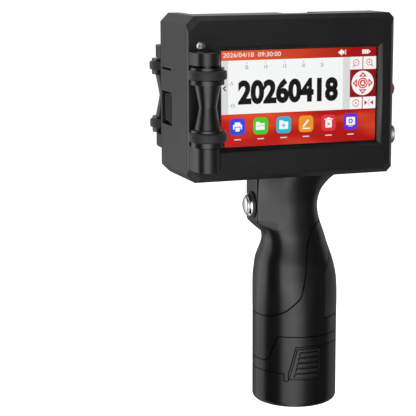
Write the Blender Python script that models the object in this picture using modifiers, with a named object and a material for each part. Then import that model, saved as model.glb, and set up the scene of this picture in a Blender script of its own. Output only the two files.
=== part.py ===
"""Handheld date code inkjet printer: a screen head with guide rollers on a pistol grip.

Frame: +Z up, the screen faces -Y, the print face and its rollers face -X. The origin is
the centre of the flat base of the battery, and the axis of the round grip is the Z axis.
Head sizes are given from the head's own corner: across from the print face, back from the
front plane and up from the underside. at_x, at_y and at_z turn them into the part's frame.
"""
import math

import bmesh
import bpy
from mathutils import Matrix, Vector

# Overall sizes, in metres.
HEAD_WIDTH = 0.1256
HEAD_HEIGHT = 0.0922
HEAD_DEPTH = 0.0510
GRIP_HEIGHT = 0.1375
GRIP_FROM_PRINT_FACE = 0.0748

# Fits and walls.
GAP = 0.0003
WALL = 0.0025
OVERCUT = 0.001

# Outline of the head.
CORNER_LEFT = 0.0048
CORNER_RIGHT = 0.0030
FRONT_BEVEL = 0.0026
FRONT_BEVEL_LEFT = 0.0006
REAR_BEVEL = 0.0022
PANEL_THICKNESS = 0.0026
PANEL_LIP_WALL = 0.0012
PANEL_LIP_DEPTH = 0.0028

# Screen.
SCREEN_WIDTH = 0.09504
SCREEN_HEIGHT = 0.05386
SCREEN_FROM_LEFT = 0.0204
SCREEN_FROM_BOTTOM = 0.0189
SCREEN_BEVEL = 0.0024
GLASS_MARGIN = 0.0030
GLASS_THICKNESS = 0.0010
LCD_MARGIN_X = 0.0045
LCD_MARGIN_Z = 0.0067
LCD_THICKNESS = 0.0030
BOARD_THICKNESS = 0.0016

# Ink cartridge and its bay.
CARTRIDGE_WIDTH = 0.0206
CARTRIDGE_LENGTH = 0.0680
CARTRIDGE_HEIGHT = 0.0490
CARTRIDGE_FROM_BOTTOM = 0.0270
SNOUT_LENGTH = 0.0098
SNOUT_HEIGHT = 0.0240
SNOUT_TIP_FROM_LEFT = 0.0032
CROWN_RADIUS = 0.0170
NOSE_HEIGHT = 0.0160
NOSE_WIDTH = 0.0150
NOSE_LENGTH = 0.0016
NOZZLE_PLATE = (0.0005, 0.0120, 0.0140)
NOZZLE_CENTRE_UP = 0.0385
BAY_SIDE_CLEARANCE = 0.0005
BAY_END_CLEARANCE = 0.0055
LABEL_THICKNESS = 0.0003
TILT_AXIS = (0.0030, 0.0500)
WINDOW_WIDTH = 0.0182
WINDOW_HEIGHT = 0.0191
LEFT_BLOCK = 0.0115
DECK_DROP = 0.0062
SCOOP_FROM_LEFT = (0.0630, 0.0820)
SCOOP_DEPTH = 0.0115

# Guide rollers. Heights are from the underside of the head.
ROLLER_FROM_LEFT = 0.0080
ROLLER_STANDOFF = 0.0100
ROLLER_BOTTOM = 0.0221
ROLLER_TOP = 0.0652
RIM_RADIUS = 0.00915
WAIST_RADIUS = 0.00485
BAND_RADIUS = 0.0106
BAND_SEAT_RADIUS = 0.0082
BAND_HEIGHT = 0.0047
RIM_ABOVE_BAND = 0.0014
RIM_BELOW_BAND = 0.0026
BOSS_RADIUS = 0.00685
UPPER_BOSS_HEIGHT = 0.0074
FRONT_LOWER_BOSS_HEIGHT = 0.0135
REAR_LOWER_BOSS_HEIGHT = 0.0078
BOSS_GAP = 0.0006
ROLLER_RELIEF = 0.0010
AXLE_RADIUS = 0.0020
BUSH_RADIUS = 0.0030
BUSH_LENGTH = 0.0042
ENCODER_RADIUS = 0.0046
ENCODER_BAY_RADIUS = 0.0052
ENCODER_CAP_THICKNESS = 0.0012
ENCODER_ROOM_BELOW_AXLE = 0.0040

# Round grip. Heights are from the underside of the head, so they are negative.
GRIP_RADIUS = 0.0250
STEM_RADIUS = 0.0219
STEM_CLEARANCE = 0.0005
STEM_TOP = 0.0700
CELL_RADIUS = 0.0092
CELL_LENGTH = 0.0650
CELL_CLEARANCE = 0.0004
BATTERY_FLOOR = 0.0030
BASE_EDGE = 0.0030
COLLAR_HIGH = -0.0942
COLLAR_LOW = -0.1100
BATTERY_HIGH = -0.1002
BATTERY_LOW = -0.1165
SLEEVE_TOP_LEFT = -0.0830
STRAP_TOP = -0.0435
STRAP_BOTTOM = -0.0840
BUTTON_THICKNESS = 0.0019
BUTTON_PROUD = 0.0002
POCKET_RADIUS = 0.0216

# Trigger and side fittings.
TRIGGER_DOWN = 0.0188
TRIGGER_BOSS_REACH = 0.0275
TRIGGER_BOSS_HALF = 0.0130
TRIGGER_BOSS_CORNER = 0.0045
TRIGGER_BOSS_UNDERSIDE = (
    (-0.0275, -0.0275), (-0.0272, -0.0290), (-0.0249, -0.0311), (-0.0222, -0.0337),
    (-0.0203, -0.0351), (-0.0100, -0.0400))
TRIGGER_BARREL = 0.0058
TRIGGER_FLANGE = 0.0080
TRIGGER_RING = 0.0068
TRIGGER_RING_PROUD = 0.0030
TRIGGER_CAP = 0.0050
TRIGGER_REACH = 0.0322
SIDE_FITTING_BACK = 0.0140
POWER_UP = 0.0473
POWER_CAP = 0.0052
POWER_PROUD = 0.0064
SOCKET_UP = 0.0206
SOCKET_RADIUS = 0.0070
SOCKET_PROUD = 0.0054
SCREW_HEAD = 0.0026
SCREW_SHANK = 0.0015

LEFT = -GRIP_FROM_PRINT_FACE
RIGHT = LEFT + HEAD_WIDTH
FRONT = -HEAD_DEPTH / 2
REAR = HEAD_DEPTH / 2
BASE = GRIP_HEIGHT
TOP = BASE + HEAD_HEIGHT
BAY_WIDTH = CARTRIDGE_WIDTH + 2 * BAY_SIDE_CLEARANCE
BAY_REAR = REAR - WALL
BAY_FRONT = BAY_REAR - BAY_WIDTH
CARTRIDGE_Y = (BAY_FRONT + BAY_REAR) / 2
CARTRIDGE_X0 = LEFT + SNOUT_TIP_FROM_LEFT + SNOUT_LENGTH
CARTRIDGE_X1 = CARTRIDGE_X0 + CARTRIDGE_LENGTH
CARTRIDGE_Z0 = BASE + CARTRIDGE_FROM_BOTTOM
CARTRIDGE_Z1 = CARTRIDGE_Z0 + CARTRIDGE_HEIGHT
BAY_RIGHT = CARTRIDGE_X1 + BAY_END_CLEARANCE
BAY_FLOOR = CARTRIDGE_Z0 - BAY_SIDE_CLEARANCE
DECK = TOP - DECK_DROP
GLASS_FRONT = FRONT + PANEL_THICKNESS + GAP
LCD_FRONT = GLASS_FRONT + GLASS_THICKNESS + GAP
BOARD_FRONT = LCD_FRONT + LCD_THICKNESS + 0.0012
STEM_BORE = STEM_RADIUS + STEM_CLEARANCE
CELL_BORE = CELL_RADIUS * (1 + 2 / math.sqrt(3)) + CELL_CLEARANCE
TRIGGER_Z = BASE - TRIGGER_DOWN


def at_x(across):
    return LEFT + across


def at_y(back):
    return FRONT + back


def at_z(up):
    return BASE + up


def clear_scene():
    for obj in list(bpy.data.objects):
        bpy.data.objects.remove(obj, do_unlink=True)


clear_scene()
PARTS = bpy.data.collections.new("date_code_printer")
CUTTERS = bpy.data.collections.new("cutters")
bpy.context.scene.collection.children.link(PARTS)
bpy.context.scene.collection.children.link(CUTTERS)


def material(name, colour, roughness, metallic=0.0):
    made = bpy.data.materials.new(name)
    made.use_nodes = True
    shader = made.node_tree.nodes["Principled BSDF"]
    shader.inputs["Base Color"].default_value = (*colour, 1.0)
    shader.inputs["Roughness"].default_value = roughness
    shader.inputs["Metallic"].default_value = metallic
    return made


SHELL_BLACK = material("shell_black", (0.022, 0.022, 0.023), 0.45)
GRIP_BLACK = material("grip_black", (0.018, 0.018, 0.019), 0.5)
RUBBER = material("rubber", (0.02, 0.02, 0.02), 0.8)
STEEL = material("steel", (0.6, 0.6, 0.61), 0.3, 1.0)
CHROME = material("chrome", (0.8, 0.8, 0.8), 0.12, 1.0)
RED = material("red_plastic", (0.6, 0.03, 0.03), 0.35)
GLASS = material("screen_glass", (0.05, 0.05, 0.06), 0.05)
BOARD_GREEN = material("circuit_board", (0.02, 0.12, 0.05), 0.5)
CARTRIDGE_BLACK = material("cartridge_black", (0.03, 0.03, 0.03), 0.4)
LABEL_WHITE = material("label_white", (0.85, 0.85, 0.83), 0.6)
GOLD = material("gold_contacts", (0.8, 0.6, 0.25), 0.3, 1.0)
CELL_WRAP = material("cell_wrap", (0.05, 0.15, 0.4), 0.4)


def finish(obj, look, smooth=True):
    """Puts a solid in the parts collection with its material and shading."""
    PARTS.objects.link(obj)
    obj.data.materials.append(look)
    if smooth:
        obj.data.shade_smooth()
        obj.data.set_sharp_from_angle(angle=math.radians(35))
    return obj


def finish_cutter(obj):
    CUTTERS.objects.link(obj)
    obj.hide_render = True
    obj.display_type = "WIRE"
    return obj


def mesh_object(name, bm):
    """A new object from a bmesh, with outward faces, its origin at the middle of its box."""
    bmesh.ops.recalc_face_normals(bm, faces=bm.faces)
    corners = [vertex.co.copy() for vertex in bm.verts]
    low = Vector(min(corner[i] for corner in corners) for i in range(3))
    high = Vector(max(corner[i] for corner in corners) for i in range(3))
    centre = (low + high) / 2
    bmesh.ops.translate(bm, verts=bm.verts, vec=-centre)
    mesh = bpy.data.meshes.new(name)
    bm.to_mesh(mesh)
    bm.free()
    obj = bpy.data.objects.new(name, mesh)
    obj.location = centre
    return obj


def box(name, x, y, z, edge=0.0):
    """A box between pairs of limits, with all its edges bevelled where edge is given."""
    bm = bmesh.new()
    bmesh.ops.create_cube(bm, size=1.0)
    size = Vector((x[1] - x[0], y[1] - y[0], z[1] - z[0]))
    centre = Vector((x[0] + x[1], y[0] + y[1], z[0] + z[1])) / 2
    bmesh.ops.scale(bm, verts=bm.verts, vec=size)
    bmesh.ops.translate(bm, verts=bm.verts, vec=centre)
    obj = mesh_object(name, bm)
    if edge:
        bevel = obj.modifiers.new("edges", "BEVEL")
        bevel.width = edge
        bevel.segments = 2
    return obj


def cylinder(name, radius, centre, along, ends, sides=32, tip=None):
    """A round bar or cone along X, Y or Z. centre gives the other two coordinates."""
    bm = bmesh.new()
    length = ends[1] - ends[0]
    bmesh.ops.create_cone(bm, cap_ends=True, segments=sides, radius1=radius,
                          radius2=radius if tip is None else tip, depth=length)
    bmesh.ops.translate(bm, verts=bm.verts, vec=(0, 0, (ends[0] + ends[1]) / 2))
    bmesh.ops.transform(bm, verts=bm.verts, matrix=axes_for(along, centre))
    return mesh_object(name, bm)


def axes_for(along, centre):
    """Maps local Z to the named axis, and local X and Y to the other two in order."""
    if along == "X":
        turn = Matrix(((0, 0, 1), (1, 0, 0), (0, 1, 0)))
        place = Vector((0, centre[0], centre[1]))
    elif along == "Y":
        turn = Matrix(((1, 0, 0), (0, 0, 1), (0, 1, 0)))
        place = Vector((centre[0], 0, centre[1]))
    else:
        turn = Matrix.Identity(3)
        place = Vector((centre[0], centre[1], 0))
    return Matrix.Translation(place) @ turn.to_4x4()


def prism(name, outline, along, ends):
    """A flat outline carried along X, Y or Z. The outline holds the other two coordinates."""
    curve = bpy.data.curves.new(name, "CURVE")
    curve.dimensions = "2D"
    curve.fill_mode = "BOTH"
    curve.extrude = (ends[1] - ends[0]) / 2
    spline = curve.splines.new("POLY")
    spline.points.add(len(outline) - 1)
    for point, (u, v) in zip(spline.points, outline):
        point.co = (u, v, 0, 1)
    spline.use_cyclic_u = True
    flat = bpy.data.objects.new(name + "_outline", curve)
    CUTTERS.objects.link(flat)
    graph = bpy.context.evaluated_depsgraph_get()
    mesh = bpy.data.meshes.new_from_object(flat.evaluated_get(graph))
    bm = bmesh.new()
    bm.from_mesh(mesh)
    bmesh.ops.remove_doubles(bm, verts=bm.verts, dist=0.00001)
    bmesh.ops.translate(bm, verts=bm.verts, vec=(0, 0, (ends[0] + ends[1]) / 2))
    bmesh.ops.transform(bm, verts=bm.verts, matrix=axes_for(along, (0, 0)))
    bpy.data.objects.remove(flat, do_unlink=True)
    bpy.data.curves.remove(curve)
    bpy.data.meshes.remove(mesh)
    return mesh_object(name, bm)


def loft(name, sections):
    """A closed body through rings that all have the same number of points."""
    bm = bmesh.new()
    rings = [[bm.verts.new(point) for point in ring] for ring in sections]
    count = len(rings[0])
    for lower, upper in zip(rings, rings[1:]):
        for i in range(count):
            j = (i + 1) % count
            bm.faces.new((lower[i], lower[j], upper[j], upper[i]))
    bm.faces.new(reversed(rings[0]))
    bm.faces.new(rings[-1])
    return mesh_object(name, bm)


def turned(name, profile, centre, along="Z", steps=32, closed=False):
    """A profile of (radius, height), turned by a Screw modifier. It may start at either end."""
    pairs = zip(profile, profile[1:] + profile[:1])
    if sum(r0 * h1 - r1 * h0 for (r0, h0), (r1, h1) in pairs) > 0:
        profile = profile[::-1]
    mesh = bpy.data.meshes.new(name)
    points = [(radius, 0.0, height) for radius, height in profile]
    edges = [(i, i + 1) for i in range(len(points) - 1)]
    if closed:
        edges.append((len(points) - 1, 0))
    mesh.from_pydata(points, edges, [])
    obj = bpy.data.objects.new(name, mesh)
    place = axes_for(along, centre)
    if along == "Y":
        place = Matrix.Translation(place.translation) @ Matrix.Rotation(math.radians(-90), 4, "X")
    obj.matrix_world = place
    screw = obj.modifiers.new("turn", "SCREW")
    screw.steps = steps
    screw.render_steps = steps
    screw.use_merge_vertices = True
    screw.merge_threshold = 0.00001
    return obj


def arc(centre, radius, start, end, steps):
    """Points on an arc, with its ends in degrees."""
    angles = [math.radians(start + (end - start) * i / steps) for i in range(steps + 1)]
    return [(centre[0] + radius * math.cos(a), centre[1] + radius * math.sin(a)) for a in angles]


def combine(obj, other, operation):
    """Cuts, joins or intersects obj with a helper, which goes with the cutters."""
    finish_cutter(other)
    modifier = obj.modifiers.new(operation.lower(), "BOOLEAN")
    modifier.operation = operation
    modifier.object = other
    return obj


def cut(obj, *others):
    for other in others:
        combine(obj, other, "DIFFERENCE")
    return obj


def join(obj, *others):
    for other in others:
        combine(obj, other, "UNION")
    return obj


def keep(obj, *others):
    for other in others:
        combine(obj, other, "INTERSECT")
    return obj


def pivot(name, place):
    """An empty on a joint's axis, which the pieces of that moving body hang from."""
    empty = bpy.data.objects.new(name, None)
    empty.location = place
    empty.empty_display_size = 0.01
    PARTS.objects.link(empty)
    return empty


def hang(empty, *pieces):
    """Parents pieces to a pivot with each piece left where it is."""
    for piece in pieces:
        piece.parent = empty
        piece.location = piece.location - empty.location


# ---------------------------------------------------------------- head

def octagon(y, left=0.0, right=0.0, level=0.0):
    """Corners of the head's outline at depth y, moved in by left, right and level."""
    x0, x1 = LEFT + left, RIGHT - right
    z0, z1 = BASE + level, TOP - level
    blend = 0.59
    c0 = CORNER_LEFT + blend * abs(level - left) + (level + left) * 0.2
    c1 = CORNER_RIGHT + (level + right) * 0.2
    return [(x0 + c0, y, z0), (x1 - c1, y, z0), (x1, y, z0 + c1), (x1, y, z1 - c1),
            (x1 - c1, y, z1), (x0 + c0, y, z1), (x0, y, z1 - c0), (x0, y, z0 + c0)]


def flat_octagon(inset):
    return [(x, z) for x, _, z in octagon(0.0, inset, inset, inset)]


def front_panel():
    back = FRONT + PANEL_THICKNESS
    panel = loft("front_panel", [
        octagon(FRONT, FRONT_BEVEL_LEFT, FRONT_BEVEL, FRONT_BEVEL),
        octagon(back, 0.0, 0.0, 0.0),
    ])
    lip_inset = WALL + GAP
    lip = prism("panel_lip", flat_octagon(lip_inset), "Y", (back - 0.0005, back + PANEL_LIP_DEPTH))
    hollow = prism("panel_lip_hollow", flat_octagon(lip_inset + PANEL_LIP_WALL), "Y",
                   (back, back + PANEL_LIP_DEPTH + OVERCUT))
    x0, z0 = at_x(SCREEN_FROM_LEFT), at_z(SCREEN_FROM_BOTTOM)
    x1, z1 = x0 + SCREEN_WIDTH, z0 + SCREEN_HEIGHT

    def rectangle(y, grow):
        return [(x0 - grow, y, z0 - grow), (x1 + grow, y, z0 - grow),
                (x1 + grow, y, z1 + grow), (x0 - grow, y, z1 + grow)]

    slope = SCREEN_BEVEL / (PANEL_THICKNESS - 0.0002)
    window = loft("screen_window", [
        rectangle(FRONT - OVERCUT, SCREEN_BEVEL + slope * OVERCUT),
        rectangle(back - 0.0002, 0.0),
        rectangle(back + OVERCUT, 0.0),
    ])
    join(panel, lip)
    cut(panel, hollow, window, roller_groove("front", FRONT - ROLLER_STANDOFF))
    for side, (low, high) in front_bosses().items():
        peg = cylinder(f"front_peg_hole_{side}", BUSH_RADIUS + GAP,
                       (at_x(ROLLER_FROM_LEFT), (low + high) / 2), "Y",
                       (FRONT - OVERCUT, back + OVERCUT), 24)
        cut(panel, peg)
    hole = cylinder("panel_screw_hole", SCREW_SHANK + GAP, panel_screw_place(), "Y",
                    (FRONT - OVERCUT, back + OVERCUT), 24)
    cut(panel, hole)
    return finish(panel, SHELL_BLACK)


def roller_groove(end, axis_y):
    """The round relief that the bands of a guide roller turn in."""
    return cylinder(f"{end}_roller_groove", BAND_RADIUS + ROLLER_RELIEF,
                    (at_x(ROLLER_FROM_LEFT), axis_y), "Z",
                    (at_z(ROLLER_BOTTOM) - BOSS_GAP, at_z(ROLLER_TOP) + BOSS_GAP), 48)


def panel_screw_place():
    return at_x(0.00745), at_z(0.0760)


def main_housing():
    start = FRONT + PANEL_THICKNESS + GAP
    body = loft("main_housing", [
        octagon(start),
        octagon(REAR - REAR_BEVEL),
        octagon(REAR, REAR_BEVEL, REAR_BEVEL, REAR_BEVEL),
    ])
    partition = BAY_FRONT - WALL
    scoop_low, scoop_high = (at_x(value) for value in SCOOP_FROM_LEFT)
    scoop_front = BAY_FRONT - SCOOP_DEPTH
    scoop_floor = TOP - 0.0145
    shallow = scoop_front - WALL
    front_a = prism("front_hollow", flat_octagon(WALL), "Y", (start - OVERCUT, shallow))
    inner_low, inner_high = BASE + WALL, TOP - WALL
    c0 = CORNER_LEFT + 2 * WALL * 0.2
    c1 = CORNER_RIGHT + 2 * WALL * 0.2
    x0, x1 = LEFT + WALL, RIGHT - WALL
    notched = [(x0 + c0, inner_low), (x1 - c1, inner_low), (x1, inner_low + c1),
               (x1, inner_high - c1), (x1 - c1, inner_high),
               (scoop_high + WALL, inner_high), (scoop_high + WALL, scoop_floor - WALL),
               (scoop_low - WALL, scoop_floor - WALL), (scoop_low - WALL, inner_high),
               (x0 + c0, inner_high), (x0, inner_high - c0), (x0, inner_low + c0)]
    front_b = prism("rear_of_front_hollow", notched, "Y", (shallow - 0.0001, partition))
    pocket_floor = BAY_FLOOR - 0.0026
    under_bay = pocket_floor - WALL
    side_wall = BAY_RIGHT + 0.0125
    ell = [(x0 + c0, inner_low), (x1 - c1, inner_low), (x1, inner_low + c1),
           (x1, DECK - WALL), (side_wall, DECK - WALL), (side_wall, under_bay),
           (x0, under_bay), (x0, inner_low + c0)]
    lower = prism("under_bay_hollow", ell, "Y", (partition - 0.0001, REAR - WALL))
    bay = box("bay_hollow", (x0, BAY_RIGHT), (BAY_FRONT, BAY_REAR), (BAY_FLOOR, TOP - WALL))
    mouth = box("bay_mouth", (at_x(LEFT_BLOCK), BAY_RIGHT), (BAY_FRONT, BAY_REAR),
                (TOP - WALL - OVERCUT, TOP + OVERCUT))
    pocket = box("contact_pocket", (at_x(0.0040), at_x(0.0200)),
                 (CARTRIDGE_Y - 0.0080, CARTRIDGE_Y + 0.0080),
                 (pocket_floor, BAY_FLOOR + OVERCUT))
    deck = box("rear_deck_cut", (at_x(LEFT_BLOCK), RIGHT + OVERCUT),
               (BAY_FRONT, REAR + OVERCUT), (DECK, TOP + OVERCUT))
    gap_low, gap_high = CARTRIDGE_X0 + 0.0130, CARTRIDGE_X1 - 0.0050
    floor = BASE + 0.0640
    slant = 0.0050
    finger_gap = prism("rear_finger_gap", [
        (gap_low + slant, floor), (gap_high - slant, floor), (gap_high, floor + slant),
        (gap_high, TOP), (gap_low, TOP), (gap_low, floor + slant)],
        "Y", (BAY_REAR - OVERCUT, REAR + OVERCUT))
    scoop = prism("finger_scoop", [
        (scoop_front, TOP + OVERCUT), (scoop_front, TOP - 0.0050),
        (scoop_front + 0.0035, TOP - 0.0105), (BAY_FRONT - 0.0030, scoop_floor + 0.0010),
        (BAY_FRONT + OVERCUT, scoop_floor), (BAY_FRONT + OVERCUT, TOP + OVERCUT)],
        "X", (scoop_low, scoop_high))
    window = box("print_window", (LEFT - OVERCUT, LEFT + WALL + OVERCUT),
                 (CARTRIDGE_Y - WINDOW_WIDTH / 2, CARTRIDGE_Y + WINDOW_WIDTH / 2),
                 (at_z(NOZZLE_CENTRE_UP) - WINDOW_HEIGHT / 2,
                  at_z(NOZZLE_CENTRE_UP) + WINDOW_HEIGHT / 2))
    slot = box("vent_slot", (LEFT - OVERCUT, LEFT + WALL + OVERCUT),
               (CARTRIDGE_Y - 0.0083, CARTRIDGE_Y + 0.0083), (at_z(0.0604), at_z(0.0616)))
    latch_room = box("latch_room", (BAY_RIGHT - OVERCUT, side_wall - WALL),
                     (CARTRIDGE_Y - 0.0055, CARTRIDGE_Y + 0.0055),
                     (at_z(0.0585), TOP + OVERCUT))
    post = cylinder("panel_screw_post", 0.0040, panel_screw_place(), "Y",
                    (FRONT + PANEL_THICKNESS + 0.0035, partition + 0.001), 24)
    post_hole = cylinder("panel_screw_post_hole", SCREW_SHANK + GAP, panel_screw_place(), "Y",
                         (start, FRONT + 0.0145), 24)
    cut(body, front_a, front_b, lower, bay, mouth, pocket, deck, finger_gap, scoop)
    cut(body, window, slot, latch_room, roller_groove("rear", REAR + ROLLER_STANDOFF))
    join(body, post)
    cut(body, post_hole)
    pin = cylinder("latch_pin_hole", 0.0010 + GAP, latch_axis(), "Y",
                   (CARTRIDGE_Y - 0.0080, CARTRIDGE_Y + 0.0080), 16)
    cut(body, pin)
    for side, (low, high) in rear_bosses().items():
        peg = cylinder(f"rear_peg_hole_{side}", BUSH_RADIUS + GAP,
                       (at_x(ROLLER_FROM_LEFT), (low + high) / 2), "Y",
                       (BAY_REAR - OVERCUT, REAR + OVERCUT), 24)
        cut(body, peg)
    wires = cylinder("head_wire_hole", 0.0050, (0.0, 0.0), "Z", (BASE - OVERCUT, BASE + 0.006), 24)
    cut(body, wires)
    for side, x in handle_screw_places().items():
        hole = cylinder(f"handle_screw_hole_{side}", 0.0016 + GAP, (x, 0.0), "Z",
                        (BASE - OVERCUT, BASE + WALL + OVERCUT), 16)
        cut(body, hole)
    for name, up, radius in (("power", POWER_UP, POWER_CAP + 0.0010 + GAP),
                             ("socket", SOCKET_UP, SOCKET_RADIUS - 0.0014 + GAP)):
        hole = cylinder(f"{name}_hole", radius, (at_y(SIDE_FITTING_BACK), at_z(up)), "X",
                        (RIGHT - WALL - OVERCUT, RIGHT + OVERCUT), 32)
        cut(body, hole)
    return finish(body, SHELL_BLACK)


def handle_screw_places():
    return {"left": -0.0140, "right": 0.0128}


def latch_axis():
    return BAY_RIGHT + 0.0050, at_z(0.0640)


def screen_stack():
    x0, z0 = at_x(SCREEN_FROM_LEFT), at_z(SCREEN_FROM_BOTTOM)
    x1, z1 = x0 + SCREEN_WIDTH, z0 + SCREEN_HEIGHT
    margin = GLASS_MARGIN
    glass = box("touch_glass", (x0 - margin, x1 + margin),
                (GLASS_FRONT, GLASS_FRONT + GLASS_THICKNESS), (z0 - margin, z1 + margin))
    finish(glass, GLASS, smooth=False)
    lcd = box("lcd_panel", (x0 - LCD_MARGIN_X, x1 + LCD_MARGIN_X),
              (LCD_FRONT, LCD_FRONT + LCD_THICKNESS), (z0 - LCD_MARGIN_Z, z1 + LCD_MARGIN_Z), 0.0004)
    finish(lcd, STEEL, smooth=False)
    board_x = (x0 - 0.0020, x1 - 0.0040)
    board_z = (z0 + 0.0020, z1 - 0.0060)
    board = box("main_board", board_x, (BOARD_FRONT, BOARD_FRONT + BOARD_THICKNESS), board_z)
    back = BOARD_FRONT + BOARD_THICKNESS
    for name, across, up, wide, tall, deep in (
            ("processor", 0.020, 0.024, 0.014, 0.014, 0.0016),
            ("memory", 0.040, 0.026, 0.008, 0.011, 0.0012),
            ("battery_plug", 0.045, 0.006, 0.012, 0.007, 0.0040)):
        chip = box(f"{name}_block", (board_x[0] + across, board_x[0] + across + wide),
                   (back - 0.0005, back + deep), (board_z[0] + up, board_z[0] + up + tall))
        join(board, chip)
    finish(board, BOARD_GREEN, smooth=False)


# ---------------------------------------------------------------- cartridge

def cartridge():
    """The ink cartridge, which leaves the bay by tilting about the top of its snout."""
    tip = LEFT + SNOUT_TIP_FROM_LEFT
    snout_top = CARTRIDGE_Z0 + SNOUT_HEIGHT
    x0, x1, z0, z1 = CARTRIDGE_X0, CARTRIDGE_X1, CARTRIDGE_Z0, CARTRIDGE_Z1
    crown = arc((x0 + CROWN_RADIUS, z1 - CROWN_RADIUS), CROWN_RADIUS, 90, 180, 8)
    edge = 0.0015
    outline = [(tip + edge, z0), (x1 - edge, z0), (x1, z0 + edge), (x1, z1 - 0.0060),
               (x1 - 0.0010, z1), (x1 - 0.0030, z1 + 0.0095), (x1 - 0.0110, z1 + 0.0095),
               (x1 - 0.0170, z1)]
    outline += crown
    outline += [(x0, snout_top + 0.0020), (x0 - 0.0020, snout_top), (tip + edge, snout_top),
                (tip, snout_top - edge), (tip, z0 + edge)]
    half = CARTRIDGE_WIDTH / 2
    body = prism("cartridge_body", outline, "Y", (CARTRIDGE_Y - half, CARTRIDGE_Y + half))
    centre_z = at_z(NOZZLE_CENTRE_UP)
    nose = box("cartridge_nose", (tip - NOSE_LENGTH, tip + 0.002),
               (CARTRIDGE_Y - NOSE_WIDTH / 2, CARTRIDGE_Y + NOSE_WIDTH / 2),
               (centre_z - NOSE_HEIGHT / 2, centre_z + NOSE_HEIGHT / 2))
    join(body, nose)
    label_x = (x0 + 0.0190, x0 + 0.0490)
    label_low = z0 + 0.0120
    sink = LABEL_THICKNESS + GAP
    for side, sign in (("front", -1), ("rear", 1)):
        face = CARTRIDGE_Y + sign * half
        y = sorted((face - sign * sink, face + sign * OVERCUT))
        cut(body, box(f"label_recess_{side}", label_x, y, (label_low, z1 + OVERCUT)))
    cut(body, box("label_recess_top", label_x, (CARTRIDGE_Y - half - OVERCUT,
        CARTRIDGE_Y + half + OVERCUT), (z1 - sink, z1 + OVERCUT)))
    pad_x = (tip + 0.0030, tip + 0.0150)
    pad_y = (CARTRIDGE_Y - 0.0060, CARTRIDGE_Y + 0.0060)
    cut(body, box("contact_recess", (pad_x[0] - GAP, pad_x[1] + GAP),
                  (pad_y[0] - GAP, pad_y[1] + GAP), (z0 - OVERCUT, z0 + 0.0008)))
    finish(body, CARTRIDGE_BLACK)
    inner, outer = half - LABEL_THICKNESS, half
    low, high = label_low + GAP, z1
    band = [(CARTRIDGE_Y - outer, low), (CARTRIDGE_Y - inner, low),
            (CARTRIDGE_Y - inner, high - LABEL_THICKNESS),
            (CARTRIDGE_Y + inner, high - LABEL_THICKNESS), (CARTRIDGE_Y + inner, low),
            (CARTRIDGE_Y + outer, low), (CARTRIDGE_Y + outer, high), (CARTRIDGE_Y - outer, high)]
    label = prism("cartridge_label", band, "X", (label_x[0] + GAP, label_x[1] - GAP))
    finish(label, LABEL_WHITE, smooth=False)
    thick, wide, tall = NOZZLE_PLATE
    face = tip - NOSE_LENGTH - GAP
    plate = box("cartridge_nozzle_plate", (face - thick, face),
                (CARTRIDGE_Y - wide / 2, CARTRIDGE_Y + wide / 2),
                (centre_z - tall / 2, centre_z + tall / 2))
    finish(plate, GOLD, smooth=False)
    pads = box("cartridge_contact_pads", pad_x, pad_y, (z0 + 0.0001, z0 + 0.0005))
    finish(pads, GOLD, smooth=False)
    axis = pivot("cartridge_tilt_axis", (at_x(TILT_AXIS[0]), CARTRIDGE_Y, at_z(TILT_AXIS[1])))
    hang(axis, body, label, plate, pads)
    block = box("contact_block", (at_x(0.0040) + GAP, at_x(0.0200) - GAP),
                (CARTRIDGE_Y - 0.0080 + GAP, CARTRIDGE_Y + 0.0080 - GAP),
                (BAY_FLOOR - 0.0026 + GAP, BAY_FLOOR), 0.0003)
    finish(block, SHELL_BLACK, smooth=False)


def cartridge_latch():
    """The sprung lever at the end of the bay, on its own cross pin."""
    axis_x, axis_z = latch_axis()
    nose = BAY_RIGHT - 0.0014
    outline = [(axis_x - 0.0018, axis_z - 0.0030), (axis_x + 0.0018, axis_z - 0.0030),
               (axis_x + 0.0026, axis_z), (axis_x + 0.0014, axis_z + 0.0180),
               (axis_x + 0.0026, axis_z + 0.0255), (axis_x + 0.0002, axis_z + 0.0262),
               (axis_x - 0.0016, axis_z + 0.0180), (nose + 0.0012, axis_z + 0.0160),
               (nose, axis_z + 0.0138), (axis_x - 0.0016, axis_z + 0.0120),
               (axis_x - 0.0026, axis_z)]
    half = 0.0050
    lever = prism("cartridge_latch", outline, "Y", (CARTRIDGE_Y - half, CARTRIDGE_Y + half))
    hole = cylinder("latch_hole", 0.0010 + GAP, latch_axis(), "Y",
                    (CARTRIDGE_Y - 0.0070, CARTRIDGE_Y + 0.0070), 16)
    cut(lever, hole)
    finish(lever, GRIP_BLACK)
    pin = cylinder("latch_pin", 0.0010, latch_axis(), "Y",
                   (CARTRIDGE_Y - 0.0078, CARTRIDGE_Y + 0.0078), 16)
    finish(pin, STEEL)
    hang(pivot("latch_axis", (axis_x, CARTRIDGE_Y, axis_z)), lever)


# ---------------------------------------------------------------- guide rollers

def front_bosses():
    low, high = at_z(ROLLER_BOTTOM) - BOSS_GAP, at_z(ROLLER_TOP) + BOSS_GAP
    return {"lower": (low - FRONT_LOWER_BOSS_HEIGHT, low), "upper": (high, high + UPPER_BOSS_HEIGHT)}


def rear_bosses():
    low, high = at_z(ROLLER_BOTTOM) - BOSS_GAP, at_z(ROLLER_TOP) + BOSS_GAP
    return {"lower": (low - REAR_LOWER_BOSS_HEIGHT, low), "upper": (high, high + UPPER_BOSS_HEIGHT)}


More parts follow.
